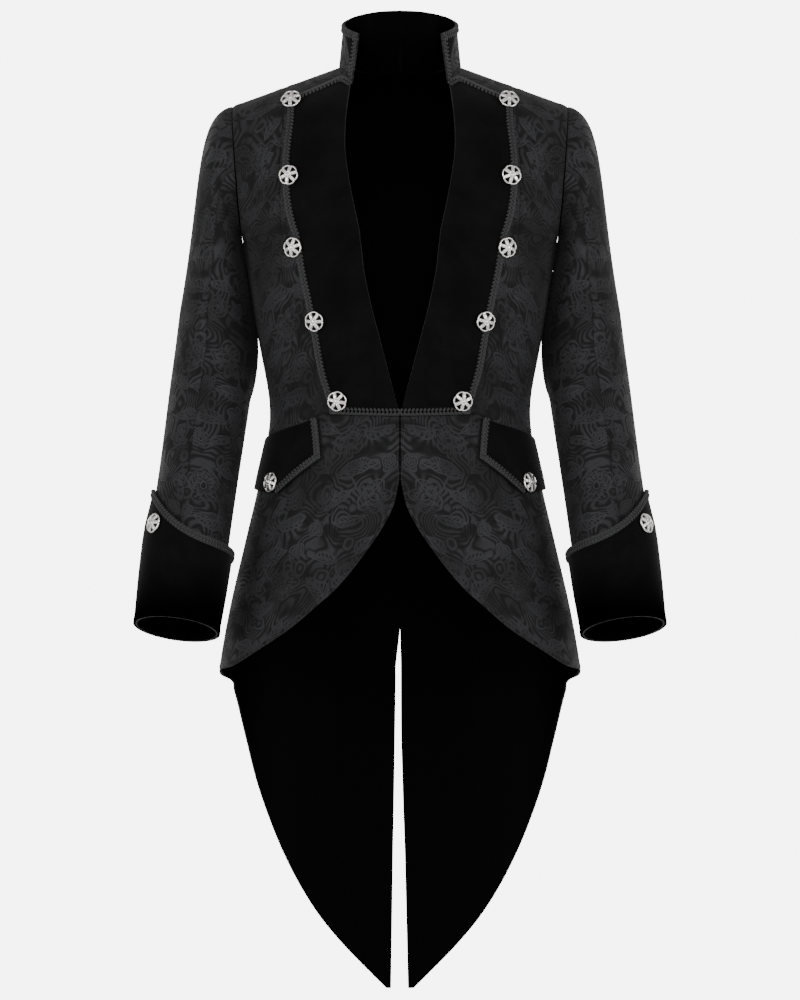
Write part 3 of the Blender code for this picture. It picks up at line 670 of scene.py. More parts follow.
def make_leaf():
    """Lines of a woven leaf that grows along +X from the origin, in millimetres."""
    tree, given, result = new_group("woven_leaf", "ShaderNodeTree", (
        ("Place", "NodeSocketVector", None), ("Length", FLOAT, 50),
        ("Width", FLOAT, 20), ("Bend", FLOAT, 10)),
        (("Lines", FLOAT),))
    place = add(tree, "ShaderNodeSeparateXYZ", given["Place"])
    share = add(tree, MATH, place, given["Length"], operation="DIVIDE")
    square = add(tree, MATH, share, share, operation="MULTIPLY")
    bent = add(tree, MATH, square, given["Bend"], operation="MULTIPLY")
    off = add(tree, MATH, place.outputs["Y"], bent, operation="SUBTRACT")
    off = add(tree, MATH, off, operation="ABSOLUTE")
    rest = add(tree, MATH, 1.0, share, operation="SUBTRACT")
    bulge = add(tree, MATH, share, rest, operation="MULTIPLY")
    half = add(tree, MATH, bulge, given["Width"], operation="MULTIPLY")
    half = add(tree, MATH, half, 2.0, operation="MULTIPLY")
    depth = add(tree, MATH, off, half, operation="SUBTRACT")
    inside = add(tree, RANGE, depth, -.5, 0.0, 1.0, 0.0)
    rim = add(tree, MATH, depth, LINE / 2, operation="ADD")
    rim = add(tree, MATH, rim, operation="ABSOLUTE")
    rim = add(tree, RANGE, rim, LINE * .35, LINE * .7, 1.0, 0.0)
    slant = add(tree, MATH, off, -1.1, place, operation="MULTIPLY_ADD")
    slant = add(tree, MATH, slant, FULL_TURN / VEIN, operation="MULTIPLY")
    veins = add(tree, MATH, slant, operation="SINE")
    veins = add(tree, RANGE, veins, -.75, .25, .1, .9)
    rib = add(tree, RANGE, off, LINE * .3, LINE * .6, 1.0, 0.0)
    fill = add(tree, MATH, veins, rib, operation="MAXIMUM")
    fill = add(tree, MATH, fill, inside, operation="MULTIPLY")
    tree.links.new(add(tree, MATH, fill, rim, operation="MAXIMUM").outputs[0], result["Lines"])
    return tree


def make_rosette():
    """Lines of a woven flower or fan round the origin, in millimetres."""
    tree, given, result = new_group("woven_rosette", "ShaderNodeTree", (
        ("Place", "NodeSocketVector", None), ("Radius", FLOAT, 20),
        ("Petals", FLOAT, 5), ("Spread", FLOAT, 4),
        ("Swirl", FLOAT, 0)),
        (("Lines", FLOAT),))
    place = add(tree, "ShaderNodeSeparateXYZ", given["Place"])
    away = add(tree, VECTOR, given["Place"], operation="LENGTH").outputs["Value"]
    share = add(tree, MATH, away, given["Radius"], operation="DIVIDE")
    turn = add(tree, MATH, place.outputs["Y"], place, operation="ARCTAN2")
    turn = add(tree, MATH, share, given["Swirl"], turn, operation="MULTIPLY_ADD")
    wave = add(tree, MATH, turn, given["Petals"], operation="MULTIPLY")
    petal = add(tree, MATH, wave, .5, operation="MULTIPLY")
    petal = add(tree, MATH, petal, operation="SINE")
    petal = add(tree, MATH, petal, operation="ABSOLUTE")
    reach = add(tree, MATH, petal, .30, .68, operation="MULTIPLY_ADD")
    thin = add(tree, MATH, LINE * .55, given["Radius"], operation="DIVIDE")
    drawn = None
    for scale in (1.0, .62):
        ring = add(tree, MATH, reach, -scale, share, operation="MULTIPLY_ADD")
        ring = add(tree, MATH, ring, operation="ABSOLUTE")
        ring = add(tree, MATH, ring, thin, operation="DIVIDE")
        ring = add(tree, RANGE, ring, .5, 1.2, 1.0, 0.0)
        drawn = ring if drawn is None else add(tree, MATH, drawn, ring, operation="MAXIMUM")
    heart = add(tree, MATH, share, .22, operation="SUBTRACT")
    heart = add(tree, MATH, heart, operation="ABSOLUTE")
    heart = add(tree, MATH, heart, thin, operation="DIVIDE")
    heart = add(tree, RANGE, heart, .5, 1.2, 1.0, 0.0)
    drawn = add(tree, MATH, drawn, heart, operation="MAXIMUM")
    rays = add(tree, MATH, wave, 3.0, operation="MULTIPLY")
    rays = add(tree, MATH, rays, operation="SINE")
    rays = add(tree, RANGE, rays, -.6, .4, .15, .85)
    within = add(tree, MATH, reach, share, operation="SUBTRACT")
    within = add(tree, RANGE, within, .08, .16, 0.0, 1.0)
    beyond = add(tree, RANGE, share, .28, .34, 0.0, 1.0)
    rays = add(tree, MATH, rays, within, operation="MULTIPLY")
    rays = add(tree, MATH, rays, beyond, operation="MULTIPLY")
    drawn = add(tree, MATH, drawn, rays, operation="MAXIMUM")
    aside = add(tree, MATH, turn, operation="ABSOLUTE")
    sector = add(tree, MATH, given["Spread"], aside, operation="SUBTRACT")
    sector = add(tree, RANGE, sector, 0.0, .05, 0.0, 1.0)
    drawn = add(tree, MATH, drawn, sector, operation="MULTIPLY")
    tree.links.new(drawn.outputs[0], result["Lines"])
    return tree


def make_strokes():
    """Bundles of fine curved lines and small scrolls, which fill the ground of the figure."""
    tree, given, result = new_group("woven_strokes", "ShaderNodeTree",
                                    (("Place", "NodeSocketVector", None),),
                                    (("Lines", FLOAT),))
    bend = add(tree, NOISE, inputs={"Vector": given["Place"], "Scale": .017,
                                                   "Detail": .4})
    turns = add(tree, MATH, bend, FULL_TURN * STROKE_WAVES, operation="MULTIPLY")
    lines = add(tree, MATH, turns, operation="SINE")
    lines = add(tree, RANGE, lines, -.8, .6, .1, 1.0)
    patch = add(tree, NOISE, inputs={"Vector": given["Place"], "Scale": .042,
                                                    "Detail": 1.0})
    patch = add(tree, RANGE, patch, .36, .50, .15, 1.0)
    lines = add(tree, MATH, lines, patch, operation="MULTIPLY")
    scroll = add(tree, "ShaderNodeTexVoronoi",
                 inputs={"Vector": given["Place"], "Scale": 1 / SCROLL}).outputs["Distance"]
    turns = add(tree, MATH, scroll, FULL_TURN * SCROLL / SCROLL_LINE, operation="MULTIPLY")
    rings = add(tree, MATH, turns, operation="SINE")
    rings = add(tree, RANGE, rings, -.6, .7, .2, 1.0)
    near = add(tree, RANGE, scroll, .30, .35, 1.0, 0.0)
    rings = add(tree, MATH, rings, near, operation="MULTIPLY")
    away = add(tree, MATH, 1.0, near, operation="SUBTRACT")
    lines = add(tree, MATH, lines, away, operation="MULTIPLY")
    drawn = add(tree, MATH, lines, rings, operation="MAXIMUM")
    tree.links.new(drawn.outputs[0], result["Lines"])
    return tree


TILE = (122.0, 172.0)       # mm, one repeat of the brocade; every other column drops by half

# Flowers and fans of the figure. Columns: x, y, turn (degrees), radius, petals, spread
# (radians each side), swirl. Millimetres in the repeat.
ROSETTES = ((34, 128, 12, 23, 5, 4, .35), (90, 92, 84, 48, 17, .62, .10),
            (66, 50, -20, 21, 6, 4, -.3), (14, 92, 0, 11, 4, 4, 0),
            (110, 152, 30, 12, 5, 4, .3), (16, 18, 50, 14, 5, 4, -.2))

# Leaves and stems. Columns: x, y, turn (degrees), length, width, bend.
LEAVES = ((84, 92, 200, 58, 24, -13), (94, 86, 292, 54, 24, 15), (48, 42, 158, 44, 20, 12),
          (58, 30, 232, 34, 16, -8), (80, 34, 322, 42, 18, 9), (44, 152, 12, 46, 18, -9),
          (70, 70, 96, 60, 3, 16), (60, 110, 38, 46, 15, -10))


def make_damask():
    """The brocade's woven figure: flowers, fans and leaves in a half-drop repeat."""
    tree, given, result = new_group("woven_figure", "ShaderNodeTree",
                                    (("Place", "NodeSocketVector", None),),
                                    (("Lines", FLOAT),))
    leaf, rosette = make_leaf(), make_rosette()
    scaled = add(tree, VECTOR, given["Place"], (FIGURE, FIGURE, FIGURE),
                 operation="MULTIPLY")
    drift = add(tree, NOISE, inputs={"Vector": scaled, "Scale": .035, "Detail": 1.0})
    drift = add(tree, VECTOR, drift.outputs["Color"], (.5, .5, .5),
                operation="SUBTRACT")
    drift = add(tree, VECTOR, drift, (DRIFT, DRIFT, 0), operation="MULTIPLY")
    moved = add(tree, VECTOR, scaled, drift, operation="ADD")
    part = add(tree, "ShaderNodeSeparateXYZ", moved)
    column = add(tree, MATH, part, TILE[0], operation="DIVIDE")
    column = add(tree, MATH, column, operation="FLOOR")
    drop = add(tree, MATH, column, TILE[1] / 2, part.outputs["Y"], operation="MULTIPLY_ADD")
    x = add(tree, MATH, part, TILE[0], operation="FLOORED_MODULO")
    y = add(tree, MATH, drop, TILE[1], operation="FLOORED_MODULO")
    place = add(tree, "ShaderNodeCombineXYZ", x, y)
    drawn = None
    for rows, group in ((ROSETTES, rosette), (LEAVES, leaf)):
        for motif_x, motif_y, turn, *sizes in rows:
            local = add(tree, "ShaderNodeMapping", place, (motif_x, motif_y, 0),
                        (0, 0, math.radians(turn)), vector_type="TEXTURE")
            motif = add(tree, "ShaderNodeGroup", local, *sizes, node_tree=group)
            drawn = motif if drawn is None else add(tree, MATH, drawn, motif, operation="MAXIMUM")
    strokes = add(tree, "ShaderNodeGroup", moved, node_tree=make_strokes())
    fill = add(tree, MATH, strokes, STROKES, operation="MULTIPLY")
    drawn = add(tree, MATH, drawn, fill, operation="MAXIMUM")
    tree.links.new(drawn.outputs[0], result["Lines"])
    return tree


def new_material(name):
    material = bpy.data.materials.new(name)
    material.use_nodes = True
    tree = material.node_tree
    return material, tree, tree.nodes["Principled BSDF"]


def brocade():
    """Jacquard-woven polyester brocade: a satin figure, a shade lighter, on a matt ground."""
    material, tree, shader = new_material("jacquard_brocade")
    cloth_map = add(tree, "ShaderNodeUVMap", uv_map="cloth")
    figure = add(tree, "ShaderNodeGroup", cloth_map, node_tree=make_damask())
    # threads of 0.3 mm are drawn at about 1 mm, so that the grain shows from a step away
    grain = add(tree, NOISE,
                inputs={"Vector": cloth_map, "Scale": 900.0, "Detail": 2.0, "Roughness": .6})
    worn = add(tree, NOISE, inputs={"Vector": cloth_map, "Scale": 14.0, "Detail": 3.0})
    faded = add(tree, RANGE, worn, .36, .60, .35, 1.0)
    figure = add(tree, MATH, figure, faded, operation="MULTIPLY")
    ground = add(tree, MIX, data_type="RGBA",
                 inputs={0: worn, 6: linear("0a0a0b"), 7: linear("101011")})
    thread = add(tree, RANGE, grain, .3, .7, .75, 1.3)
    shade = add(tree, MIX, data_type="RGBA",
                inputs={0: figure, 6: ground.outputs[2], 7: linear("29292b")})
    colour = add(tree, VECTOR, shade.outputs[2], operation="SCALE",
                 inputs={"Scale": thread})
    rough = add(tree, RANGE, figure, 0.0, 1.0, .85, .55)
    height = add(tree, MATH, grain, .25, figure, operation="MULTIPLY_ADD")
    bump = add(tree, BUMP, inputs={"Strength": .6, "Distance": .0006, "Height": height})
    feed(tree, shader, {"Base Color": colour, "Roughness": rough, "Normal": bump,
                        "Specular IOR Level": .15, "Sheen Weight": .03, "Sheen Roughness": .5})
    return material


CUFF_SHADE_HEIGHTS = (-.660, -.595)     # heights between which painted shade darkens the velvet towards the sleeve ends
PILE_SHINE = .08


def velvet():
    """Cotton velvet: a short dense pile that drinks light and glows faintly at the rim."""
    material, tree, shader = new_material("cotton_velvet")
    cloth_map = add(tree, "ShaderNodeUVMap", uv_map="cloth")
    nap = add(tree, NOISE,
              inputs={"Vector": cloth_map, "Scale": 22.0, "Detail": 4.0, "Roughness": .55})
    pile = add(tree, NOISE,
               inputs={"Vector": cloth_map, "Scale": 1400.0, "Detail": 1.0})
    brushed = add(tree, RANGE, nap, .35, .7, 0.0, 1.0)
    colour = add(tree, MIX, data_type="RGBA",
                 inputs={0: brushed, 6: linear("050505"), 7: linear("0c0c0d")})
    # painted shade: towards the ends of the sleeves the velvet's colour, sheen and shine are scaled down by height, so
    # it shows darker
    low = add(tree, "ShaderNodeSeparateXYZ", add(tree, "ShaderNodeTexCoord").outputs["Object"])
    painted_shade = add(tree, RANGE, low.outputs["Z"], *CUFF_SHADE_HEIGHTS, .04, 1.0)
    colour = add(tree, VECTOR, colour.outputs[2], operation="SCALE",
                 inputs={"Scale": painted_shade})
    # the same painted shade fades the sheen and the shine towards the sleeve ends
    shaded_sheen = add(tree, MATH, painted_shade, PILE_SHINE, operation="MULTIPLY")
    mixed = add(tree, MATH, nap, 2.5, pile, operation="MULTIPLY_ADD")
    bump = add(tree, BUMP, inputs={"Strength": .35, "Distance": .0008, "Height": mixed})
    feed(tree, shader, {"Base Color": colour, "Normal": bump, "Sheen Weight": shaded_sheen,
                        "Specular IOR Level": shaded_sheen, "Roughness": .95, "Sheen Roughness": .35})
    return material


def gimp():
    """Viscose gimp braid: cords of twisted thread with a soft lustre."""
    material, tree, shader = new_material("viscose_gimp")
    place = add(tree, "ShaderNodeTexCoord").outputs["Object"]
    thread = add(tree, NOISE,
                 inputs={"Vector": place, "Scale": 1100.0, "Detail": 2.0})
    colour = add(tree, MIX, data_type="RGBA",
                 inputs={0: thread, 6: linear("0f0f10"), 7: linear("2c2c2e")})
    bump = add(tree, BUMP, inputs={"Strength": .5, "Distance": .0003, "Height": thread})
    feed(tree, shader, {"Base Color": colour.outputs[2], "Normal": bump, "Roughness": .58,
                        "Specular IOR Level": .32, "Sheen Weight": .08})
    return material


def satin_lining():
    """Acetate satin lining: smooth, dull black, with a faint lengthwise rib."""
    material, tree, shader = new_material("acetate_satin")
    cloth_map = add(tree, "ShaderNodeUVMap", uv_map="cloth")
    stretched = add(tree, "ShaderNodeMapping", cloth_map, None, None, (900, 40, 1))
    rib = add(tree, NOISE, inputs={"Vector": stretched, "Scale": 1.0, "Detail": 1.0})
    colour = add(tree, MIX, data_type="RGBA",
                 inputs={0: rib, 6: linear("000000"), 7: linear("020202")})
    bump = add(tree, BUMP, inputs={"Strength": .2, "Distance": .0002, "Height": rib})
    feed(tree, shader, {"Base Color": colour.outputs[2], "Normal": bump, "Roughness": .5,
                        "Specular IOR Level": .02})
    return material


def sewing_thread():
    """Core-spun polyester sewing thread, black with a dull shine."""
    material, tree, shader = new_material("polyester_thread")
    place = add(tree, "ShaderNodeTexCoord").outputs["Object"]
    twist = add(tree, NOISE, inputs={"Vector": place, "Scale": 1800.0})
    colour = add(tree, MIX, data_type="RGBA",
                 inputs={0: twist, 6: linear("1a1a1b"), 7: linear("303032")})
    feed(tree, shader, {"Base Color": colour.outputs[2], "Roughness": .5})
    return material


def antique_silver():
    """Die-cast zinc, silver plated and oxidised: bright on the raised work, black below."""
    material, tree, shader = new_material("antique_silver")
    place = add(tree, "ShaderNodeTexCoord").outputs["Object"]
    hollow = add(tree, "ShaderNodeAttribute", attribute_name="hollow")
    tarnish = add(tree, NOISE, inputs={"Vector": place, "Scale": 420.0, "Detail": 3.0})
    spots = add(tree, RANGE, tarnish, .42, .7, 0.0, .35)
    dark = add(tree, MATH, hollow.outputs["Fac"], spots, operation="MAXIMUM")
    colour = add(tree, MIX, data_type="RGBA",
                 inputs={0: dark, 6: linear("f6f4f0"), 7: linear("0c0b0b")})
    rough = add(tree, RANGE, dark, 0.0, 1.0, .27, .80)
    bump = add(tree, BUMP,
               inputs={"Strength": .15, "Distance": .0002, "Height": tarnish})
    feed(tree, shader, {"Base Color": colour.outputs[2], "Roughness": rough, "Normal": bump,
                        "Metallic": 1})
    return material


BROCADE = brocade()
VELVET = velvet()
GIMP = gimp()
SATIN = satin_lining()
THREAD = sewing_thread()
SILVER = antique_silver()


# ------------------------------------------------------------ braid and stitches
def make_beads(name, takes, rows):
    """A tree that lays beads along paths, in rows of (sign of the offset, of the turn)."""
    tree, given, result = new_group(name, "GeometryNodeTree", (
        ("Paths", "NodeSocketGeometry", None), *takes, ("Finish", "NodeSocketMaterial", None)),
        (("Beads", "NodeSocketGeometry"),))
    curve = add(tree, "GeometryNodeMeshToCurve", given["Paths"])
    curve = add(tree, "GeometryNodeResampleCurve", mode="LENGTH",
                inputs={"Curve": curve, "Length": given["Pitch"]})
    up = add(tree, "GeometryNodeInputNamedAttribute", "up", data_type="FLOAT_VECTOR")
    along = add(tree, "GeometryNodeInputTangent")
    across = add(tree, VECTOR, up, along, operation="CROSS_PRODUCT")
    facing = add(tree, "FunctionNodeAlignRotationToVector", axis="X", inputs={"Vector": along})
    facing = add(tree, "FunctionNodeAlignRotationToVector", axis="Z", pivot_axis="X",
                 inputs={"Rotation": facing, "Vector": up})
    bead = add(tree, "GeometryNodeMeshUVSphere", 6, 4, 1.0)
    size = add(tree, "ShaderNodeCombineXYZ", given["Length"], given["Width"], given["Height"])
    size = add(tree, VECTOR, size, (.5, .5, .5), operation="MULTIPLY")
    laid = tree.nodes.new("GeometryNodeJoinGeometry")
    for shift, turn in rows:
        angle = add(tree, MATH, given["Turn"], turn, operation="MULTIPLY")
        spin = add(tree, "FunctionNodeAxisAngleToRotation", (0, 0, 1), angle)
        turned = add(tree, "FunctionNodeRotateRotation", facing, spin, rotation_space="LOCAL")
        offset = add(tree, MATH, given["Offset"], shift, operation="MULTIPLY")
        aside = add(tree, VECTOR, across, operation="SCALE", inputs={"Scale": offset})
        placed = add(tree, "GeometryNodeSetPosition", curve, inputs={"Offset": aside})
        beads = add(tree, "GeometryNodeInstanceOnPoints",
                    inputs={"Points": placed, "Instance": bead, "Rotation": turned, "Scale": size})
        tree.links.new(beads.outputs[0], laid.inputs[0])
    real = add(tree, "GeometryNodeRealizeInstances", laid)
    smooth = add(tree, "GeometryNodeSetShadeSmooth", real)
    done = add(tree, "GeometryNodeSetMaterial", smooth, inputs={"Material": given["Finish"]})
    tree.links.new(done.outputs[0], result["Beads"])
    return tree


BRAID_TREE = make_beads("braid_cords", (
    ("Pitch", FLOAT, .0046), ("Length", FLOAT, .0056), ("Width", FLOAT, .0036),
    ("Height", FLOAT, .0026), ("Turn", FLOAT, math.radians(52)), ("Offset", FLOAT, .0022)),
    ((1, 1), (-1, -1)))
STITCH_TREE = make_beads("lock_stitches", (
    ("Pitch", FLOAT, .0034), ("Length", FLOAT, .0027), ("Width", FLOAT, .0006),
    ("Height", FLOAT, .0006), ("Turn", FLOAT, 0.0), ("Offset", FLOAT, 0.0)),
    ((0, 0),))


def bead_piece(name, tree, lines, finish, side=1, **sizes):
    """Runs a bead tree on paths, each (points, normals, closed), and keeps the plain mesh."""
    verts, ups, edges = [], [], []
    mirror = np.array((side, 1, 1))
    for points, normals, closed in lines:
        first = len(verts)
        verts.extend((points * mirror).tolist())
        ups.extend((normals * mirror).tolist())
        edges.extend((first + i, first + i + 1) for i in range(len(points) - 1))
        if closed:
            edges.append((first + len(points) - 1, first))
    mesh = bpy.data.meshes.new(name + "_paths")
    mesh.from_pydata(verts, edges, [])
    up = mesh.attributes.new("up", "FLOAT_VECTOR", "POINT")
    up.data.foreach_set("vector", np.array(ups, np.float32).ravel())
    paths = bpy.data.objects.new(name + "_paths", mesh)
    bpy.context.scene.collection.objects.link(paths)
    modifier = paths.modifiers.new("beads", "NODES")
    modifier.node_group = tree
    sockets = {item.name: item.identifier for item in tree.interface.items_tree
               if item.item_type == "SOCKET" and item.in_out == "INPUT"}
    modifier[sockets["Finish"]] = finish
    for label, size in sizes.items():
        modifier[sockets[label.capitalize()]] = size
    depsgraph = bpy.context.evaluated_depsgraph_get()
    made = bpy.data.meshes.new_from_object(paths.evaluated_get(depsgraph))
    made.name = name
    paths.modifiers.clear()
    bpy.data.objects.remove(paths, do_unlink=True)
    return new_piece(name, made, finish)


# ---------------------------------------------------------------- places of cuts
NECK_U = float(u_at(0, NECK_X))
FRONT_NECK_U = float(u_at(FRONT_NECK, front_lines(FRONT_NECK)[0]))
LAPEL_EDGE_U = float(u_at(LAPEL_TOP, front_lines(LAPEL_TOP)[1]))
LAPEL_EDGE_TOP = FRONT_LINES[0][2]
LAPEL_COLUMN = 6            # index of the lapel's outer edge among the front's columns
SIDE_SHARES = (0, .22, .43, .63, .82, 1)
SKIRT_SHARES = (0, .05, .13, .25, .42, .62, .82, 1)
BACK_NECK_SHARES = (0, .5, 1)
BACK_SHARES = (.28, .53, .77, 1)


def both(name):
    """The two sides of the coat: a name and the sign of x."""
    return ((name + "_left", 1), (name + "_right", -1))


def front_columns(depth):
    """u of the front panel's columns: front edge, lapel, princess seam."""
    edge_x, lapel_x, princess_x = front_lines(depth)
    first = u_at(depth, edge_x)
    last = u_at(depth, lapel_x - BRAID_WIDTH)
    neck = (NECK_U - FRONT_NECK_U) / (u_at(0, LAPEL_EDGE_TOP - BRAID_WIDTH) - FRONT_NECK_U)
    shares = (0, neck / 2, neck, .50, .75, 1)
    columns = [first + (last - first) * share for share in shares]
    return columns + [u_at(depth, lapel_x), u_at(depth, princess_x)]


def lapel_top(u, neck):
    """Depth of the lapel's top edge, which rises beside the shoulder to the collar."""
    share = min(max((LAPEL_EDGE_U - u) / (LAPEL_EDGE_U - NECK_U), 0), 1)
    return max(LAPEL_TOP - LAPEL_RISE * share, neck + LAPEL_BELOW_NECK)


def front_cells():
    cells = []
    for level in ARM_ROWS_FRONT + CHEST_ROWS:
        row = []
        for u in front_columns(max(level, FRONT_NECK)):
            neck = max(FRONT_NECK * (NECK_U - u) / (NECK_U - FRONT_NECK_U), 0)
            top = lapel_top(u, neck)
            depth = level
            if level < LAPEL_TOP:
                depth = neck + level * (top - neck) / LAPEL_TOP
            elif level < LAPEL_TOP + BRAID_WIDTH:
                depth = level - LAPEL_TOP + top
            row.append((u, -depth))
        row[-1] = (u_at(level, front_lines(level)[2]), -level)
        cells.append(row)
    return np.array(cells, float)


def princess_u(depth):
    return u_at(depth, front_lines(depth)[2])


def front_edge_u(depth):
    return u_at(depth, CENTRE_GAP)


def side_line_u(depth):
    return 1


def skirt_hem(share, first, last):
    """Depth of the cutaway hem on a column between two lines of u."""
    depth = SIDE_HEM
    for _ in range(20):
        u = first(depth) + (last(depth) - first(depth)) * share
        depth = (depth + between(FRONT_HEM, u)) / 2
    return depth


def skirt_cells(shares, first, last):
    """Rows from the waist to the cutaway hem."""
    hems = [skirt_hem(share, first, last) for share in shares]
    cells = []
    for part in range(SKIRT_PARTS + 1):
        row = []
        for share, hem in zip(shares, hems):
            depth = WAIST + (hem - WAIST) * part / SKIRT_PARTS
            row.append((first(depth) + (last(depth) - first(depth)) * share, -depth))
        cells.append(row)
    return np.array(cells, float)


def side_cells():
    upper = []
    for level in ARM_ROWS_FRONT + CHEST_ROWS:
        first = princess_u(level)
        upper.append([(first + (1 - first) * share, -level) for share in SIDE_SHARES])
    return np.array(upper + skirt_cells(SIDE_SHARES, princess_u, side_line_u)[1:].tolist())


def back_cells(side=1):
    vent_column = 1 if side > 0 else 2
    shares = [NECK_U * share for share in BACK_NECK_SHARES]
    shares += [NECK_U + (1 - NECK_U) * share for share in BACK_SHARES]
    skirt = [WAIST + (SIDE_HEM - WAIST) * part / SKIRT_PARTS for part in range(1, SKIRT_PARTS + 1)]
    cells = []
    for level in list(ARM_ROWS_BACK + CHEST_ROWS) + skirt + list(TAIL_ROWS):
        row = []
        outer = between(TAIL_EDGE, level)
        for share in shares:
            neck = NAPE * max(1 - (share / NECK_U) ** 2, 0)
            depth = level
            if level < ARM_DEPTH:
                depth = neck + level * (1 - neck / ARM_DEPTH)
            inner = u_at(depth, between(VENT, depth, vent_column))
            row.append((inner + (outer - inner) * share, depth))
        cells.append(row)
    return np.array(cells, float)


def pull_in(points, top=0, bottom=0, left=0, right=0):
    """Draws the edges of a grid of points back from the seams."""
    moved = points.copy()
    for index, inner, amount in ((0, 1, top), (-1, -2, bottom)):
        moved[index] += unit(points[inner] - points[index]) * amount
    for index, inner, amount in ((0, 1, left), (-1, -2, right)):
        moved[:, index] += unit(points[:, inner] - points[:, index]) * amount
    return moved


def edge_distances(points):
    """Metres from each point of a grid to its top, bottom, left and right edges."""
    down, across = lengths_from_start(points, 0), lengths_from_start(points, 1)
    return down, down[-1] - down, across, across[:, -1:] - across


def cells_within(mask):
    """The cells of a grid whose four corners are all in a mask."""
    return mask[1:, 1:] & mask[:-1, 1:] & mask[1:, :-1] & mask[:-1, :-1]


def on_body(cells):
    """Points, normals and places on the flat cloth for a table of (u, q)."""
    u, q = cells[..., 0], cells[..., 1]
    return body(u, q), body_normal(u, q), cloth_place(u, q)


def ridge(distance, middle, width, height):
    """A rounded ridge along an edge, or a dent where the height is minus."""
    return height * np.exp(-((distance - middle) / width) ** 2)


def hem_relief(distance):
    """A turned hem: a raised band, and the dent of its line of stitches."""
    band = .0005 * np.clip((.0078 - distance) / .0016, 0, 1)
    return band + ridge(distance, HEM_STITCH, .0014, -.0005)


def seam_relief(distance):
    """A pressed seam: a fine dent with a low ridge beside it, where the turnings lie."""
    return ridge(distance, 0, .0022, -.0009) + ridge(distance, .0075, .0040, .0004)


# ------------------------------------------------------------------ body pieces
def sewn(name, points, places, normals, outside, inside, rests_on, held="hung", wall=CLOTH, **how):
    """A sheet of cloth, with what declare() needs to note its place in the coat."""
    keep = how.get("keep")
    size, area = cut_size(points, keep)
    piece = shell(name, points, normals, wall, outside, inside, places, **how)
    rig.ride(piece, "root")
    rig.replaces(piece, name)
    return piece, size, area, rests_on, held


def declare(made, slot, with_pieces=()):
    piece, size, area, rests_on, held = made
    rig.slot(piece, slot)
    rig.sheet(piece, flat=size, held=held, rests_on=rests_on, area=area, with_pieces=with_pieces)


def trim_piece(piece, slot, *nodes):
    """Braid, stitches or a button, which ride on the coat's one body."""
    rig.ride(piece, "root")
    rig.slot(piece, slot)
    if nodes:
        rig.replaces(piece, *nodes)
    return piece


def line_on_body(table, lift, step=.004):
    """A smooth line over the coat through places (u, q), lifted off the cloth."""
    table = np.asarray(table, float)
    spans = np.linalg.norm(np.diff(body(table[:, 0], table[:, 1]), axis=0), axis=-1)
    counts = np.maximum(np.ceil(spans / step).astype(int), 1)
    table = smooth_steps(table, counts, 0)
    points, normals = body(table[:, 0], table[:, 1]), body_normal(table[:, 0], table[:, 1])
    return points, normals, lift


def laid(line, side):
    """Path for beads: the line with the cloth's own creases under it."""
    points, normals, lift = line
    return points + normals * (lift + crease_height(points, side))[:, None], normals, False


def inset_line(points, normals, index, axis, inset, lift, side, start=0, end=None):
    """A path at a distance inside one edge of a grid."""
    rows, ups = np.moveaxis(points, axis, 0), np.moveaxis(normals, axis, 0)
    if index < 0:
        rows, ups = rows[::-1], ups[::-1]
    away = lengths_from_start(rows, 0)
    path, path_ups = (np.array([[np.interp(inset, away[:, j], grid[:, j, k]) for k in range(3)]
                                for j in range(rows.shape[1])[start:end]])
                      for grid in (rows, ups))
    path_ups = unit(path_ups)
    return path + path_ups * (lift + crease_height(path, side))[:, None], path_ups, False


def braided(name, lines, points, normals, places, lift, side=1, **how):
    """Gimp braid: cords along lines, on a flat ground over part of a grid."""
    cords = bead_piece(name, BRAID_TREE, lines, GIMP, side)
    ground = shell(name + "_ground", points, normals, BRAID, GIMP, GIMP, places,
                   raise_by=lift, side=side, **how)
    return [trim_piece(cords, "braid", name), trim_piece(ground, "braid")]


def stitched(name, lines, side):
    """Lock stitches in the turned hems of a panel."""
    stitches = bead_piece(name + "_stitches", STITCH_TREE, lines, THREAD, side)
    return trim_piece(stitches, "brocade")


def make_fronts():
    """Front panels, velvet lapels, and the gimp braid round each lapel."""
    coarse = front_cells()
    points, normals, places = on_body(finer(coarse))
    panel = pull_in(points, top=SEAM, bottom=SEAM / 2, right=SEAM / 2)
    relief = seam_relief(edge_distances(points)[3])
    trim = coarse[ARM_ROWS_FRONT.index(LAPEL_TOP):, :LAPEL_COLUMN + 1]
    top_points, top_normals, top_places = on_body(finer(trim))
    lapel = pull_in(top_points, bottom=SEAM / 2)
    away = edge_distances(top_points)
    roll = ridge(away[2], 0, .004, .0007)       # the turned front edge
    high, low = (trim[0] + trim[1]) / 2, (trim[-1] + trim[-2]) / 2
    outer = (trim[:, -1] + trim[:, -2]) / 2
    outer[0], outer[-1] = ((line[-1] + line[-2]) / 2 for line in (high, low))
    band = cells_within(np.minimum(np.minimum(away[0], away[1]), away[3]) < BRAID_WIDTH * .97)
    lift = CLOTH + 2 * LIFT
    for (name, side), (lapel_name, _), (braid_name, _) in zip(
            both("front"), both("lapel"), both("lapel_braid")):
        front = sewn(name, panel, places, normals, BROCADE, SATIN,
                     ["back" + name[5:], "side" + name[5:]], relief=relief, side=side)
        facing = sewn(lapel_name, lapel, top_places, top_normals, VELVET, VELVET,
                      [name], "laid", raise_by=LIFT, relief=roll, side=side)
        lines = [laid(line_on_body(line, lift + BRAID_RISE), side)
                 for line in (high[:-1], outer, low[:-1])]
        braid = braided(braid_name, lines, lapel, top_normals, top_places, lift, side, keep=band)
        declare(front, "brocade")
        declare(facing, "velvet", braid)


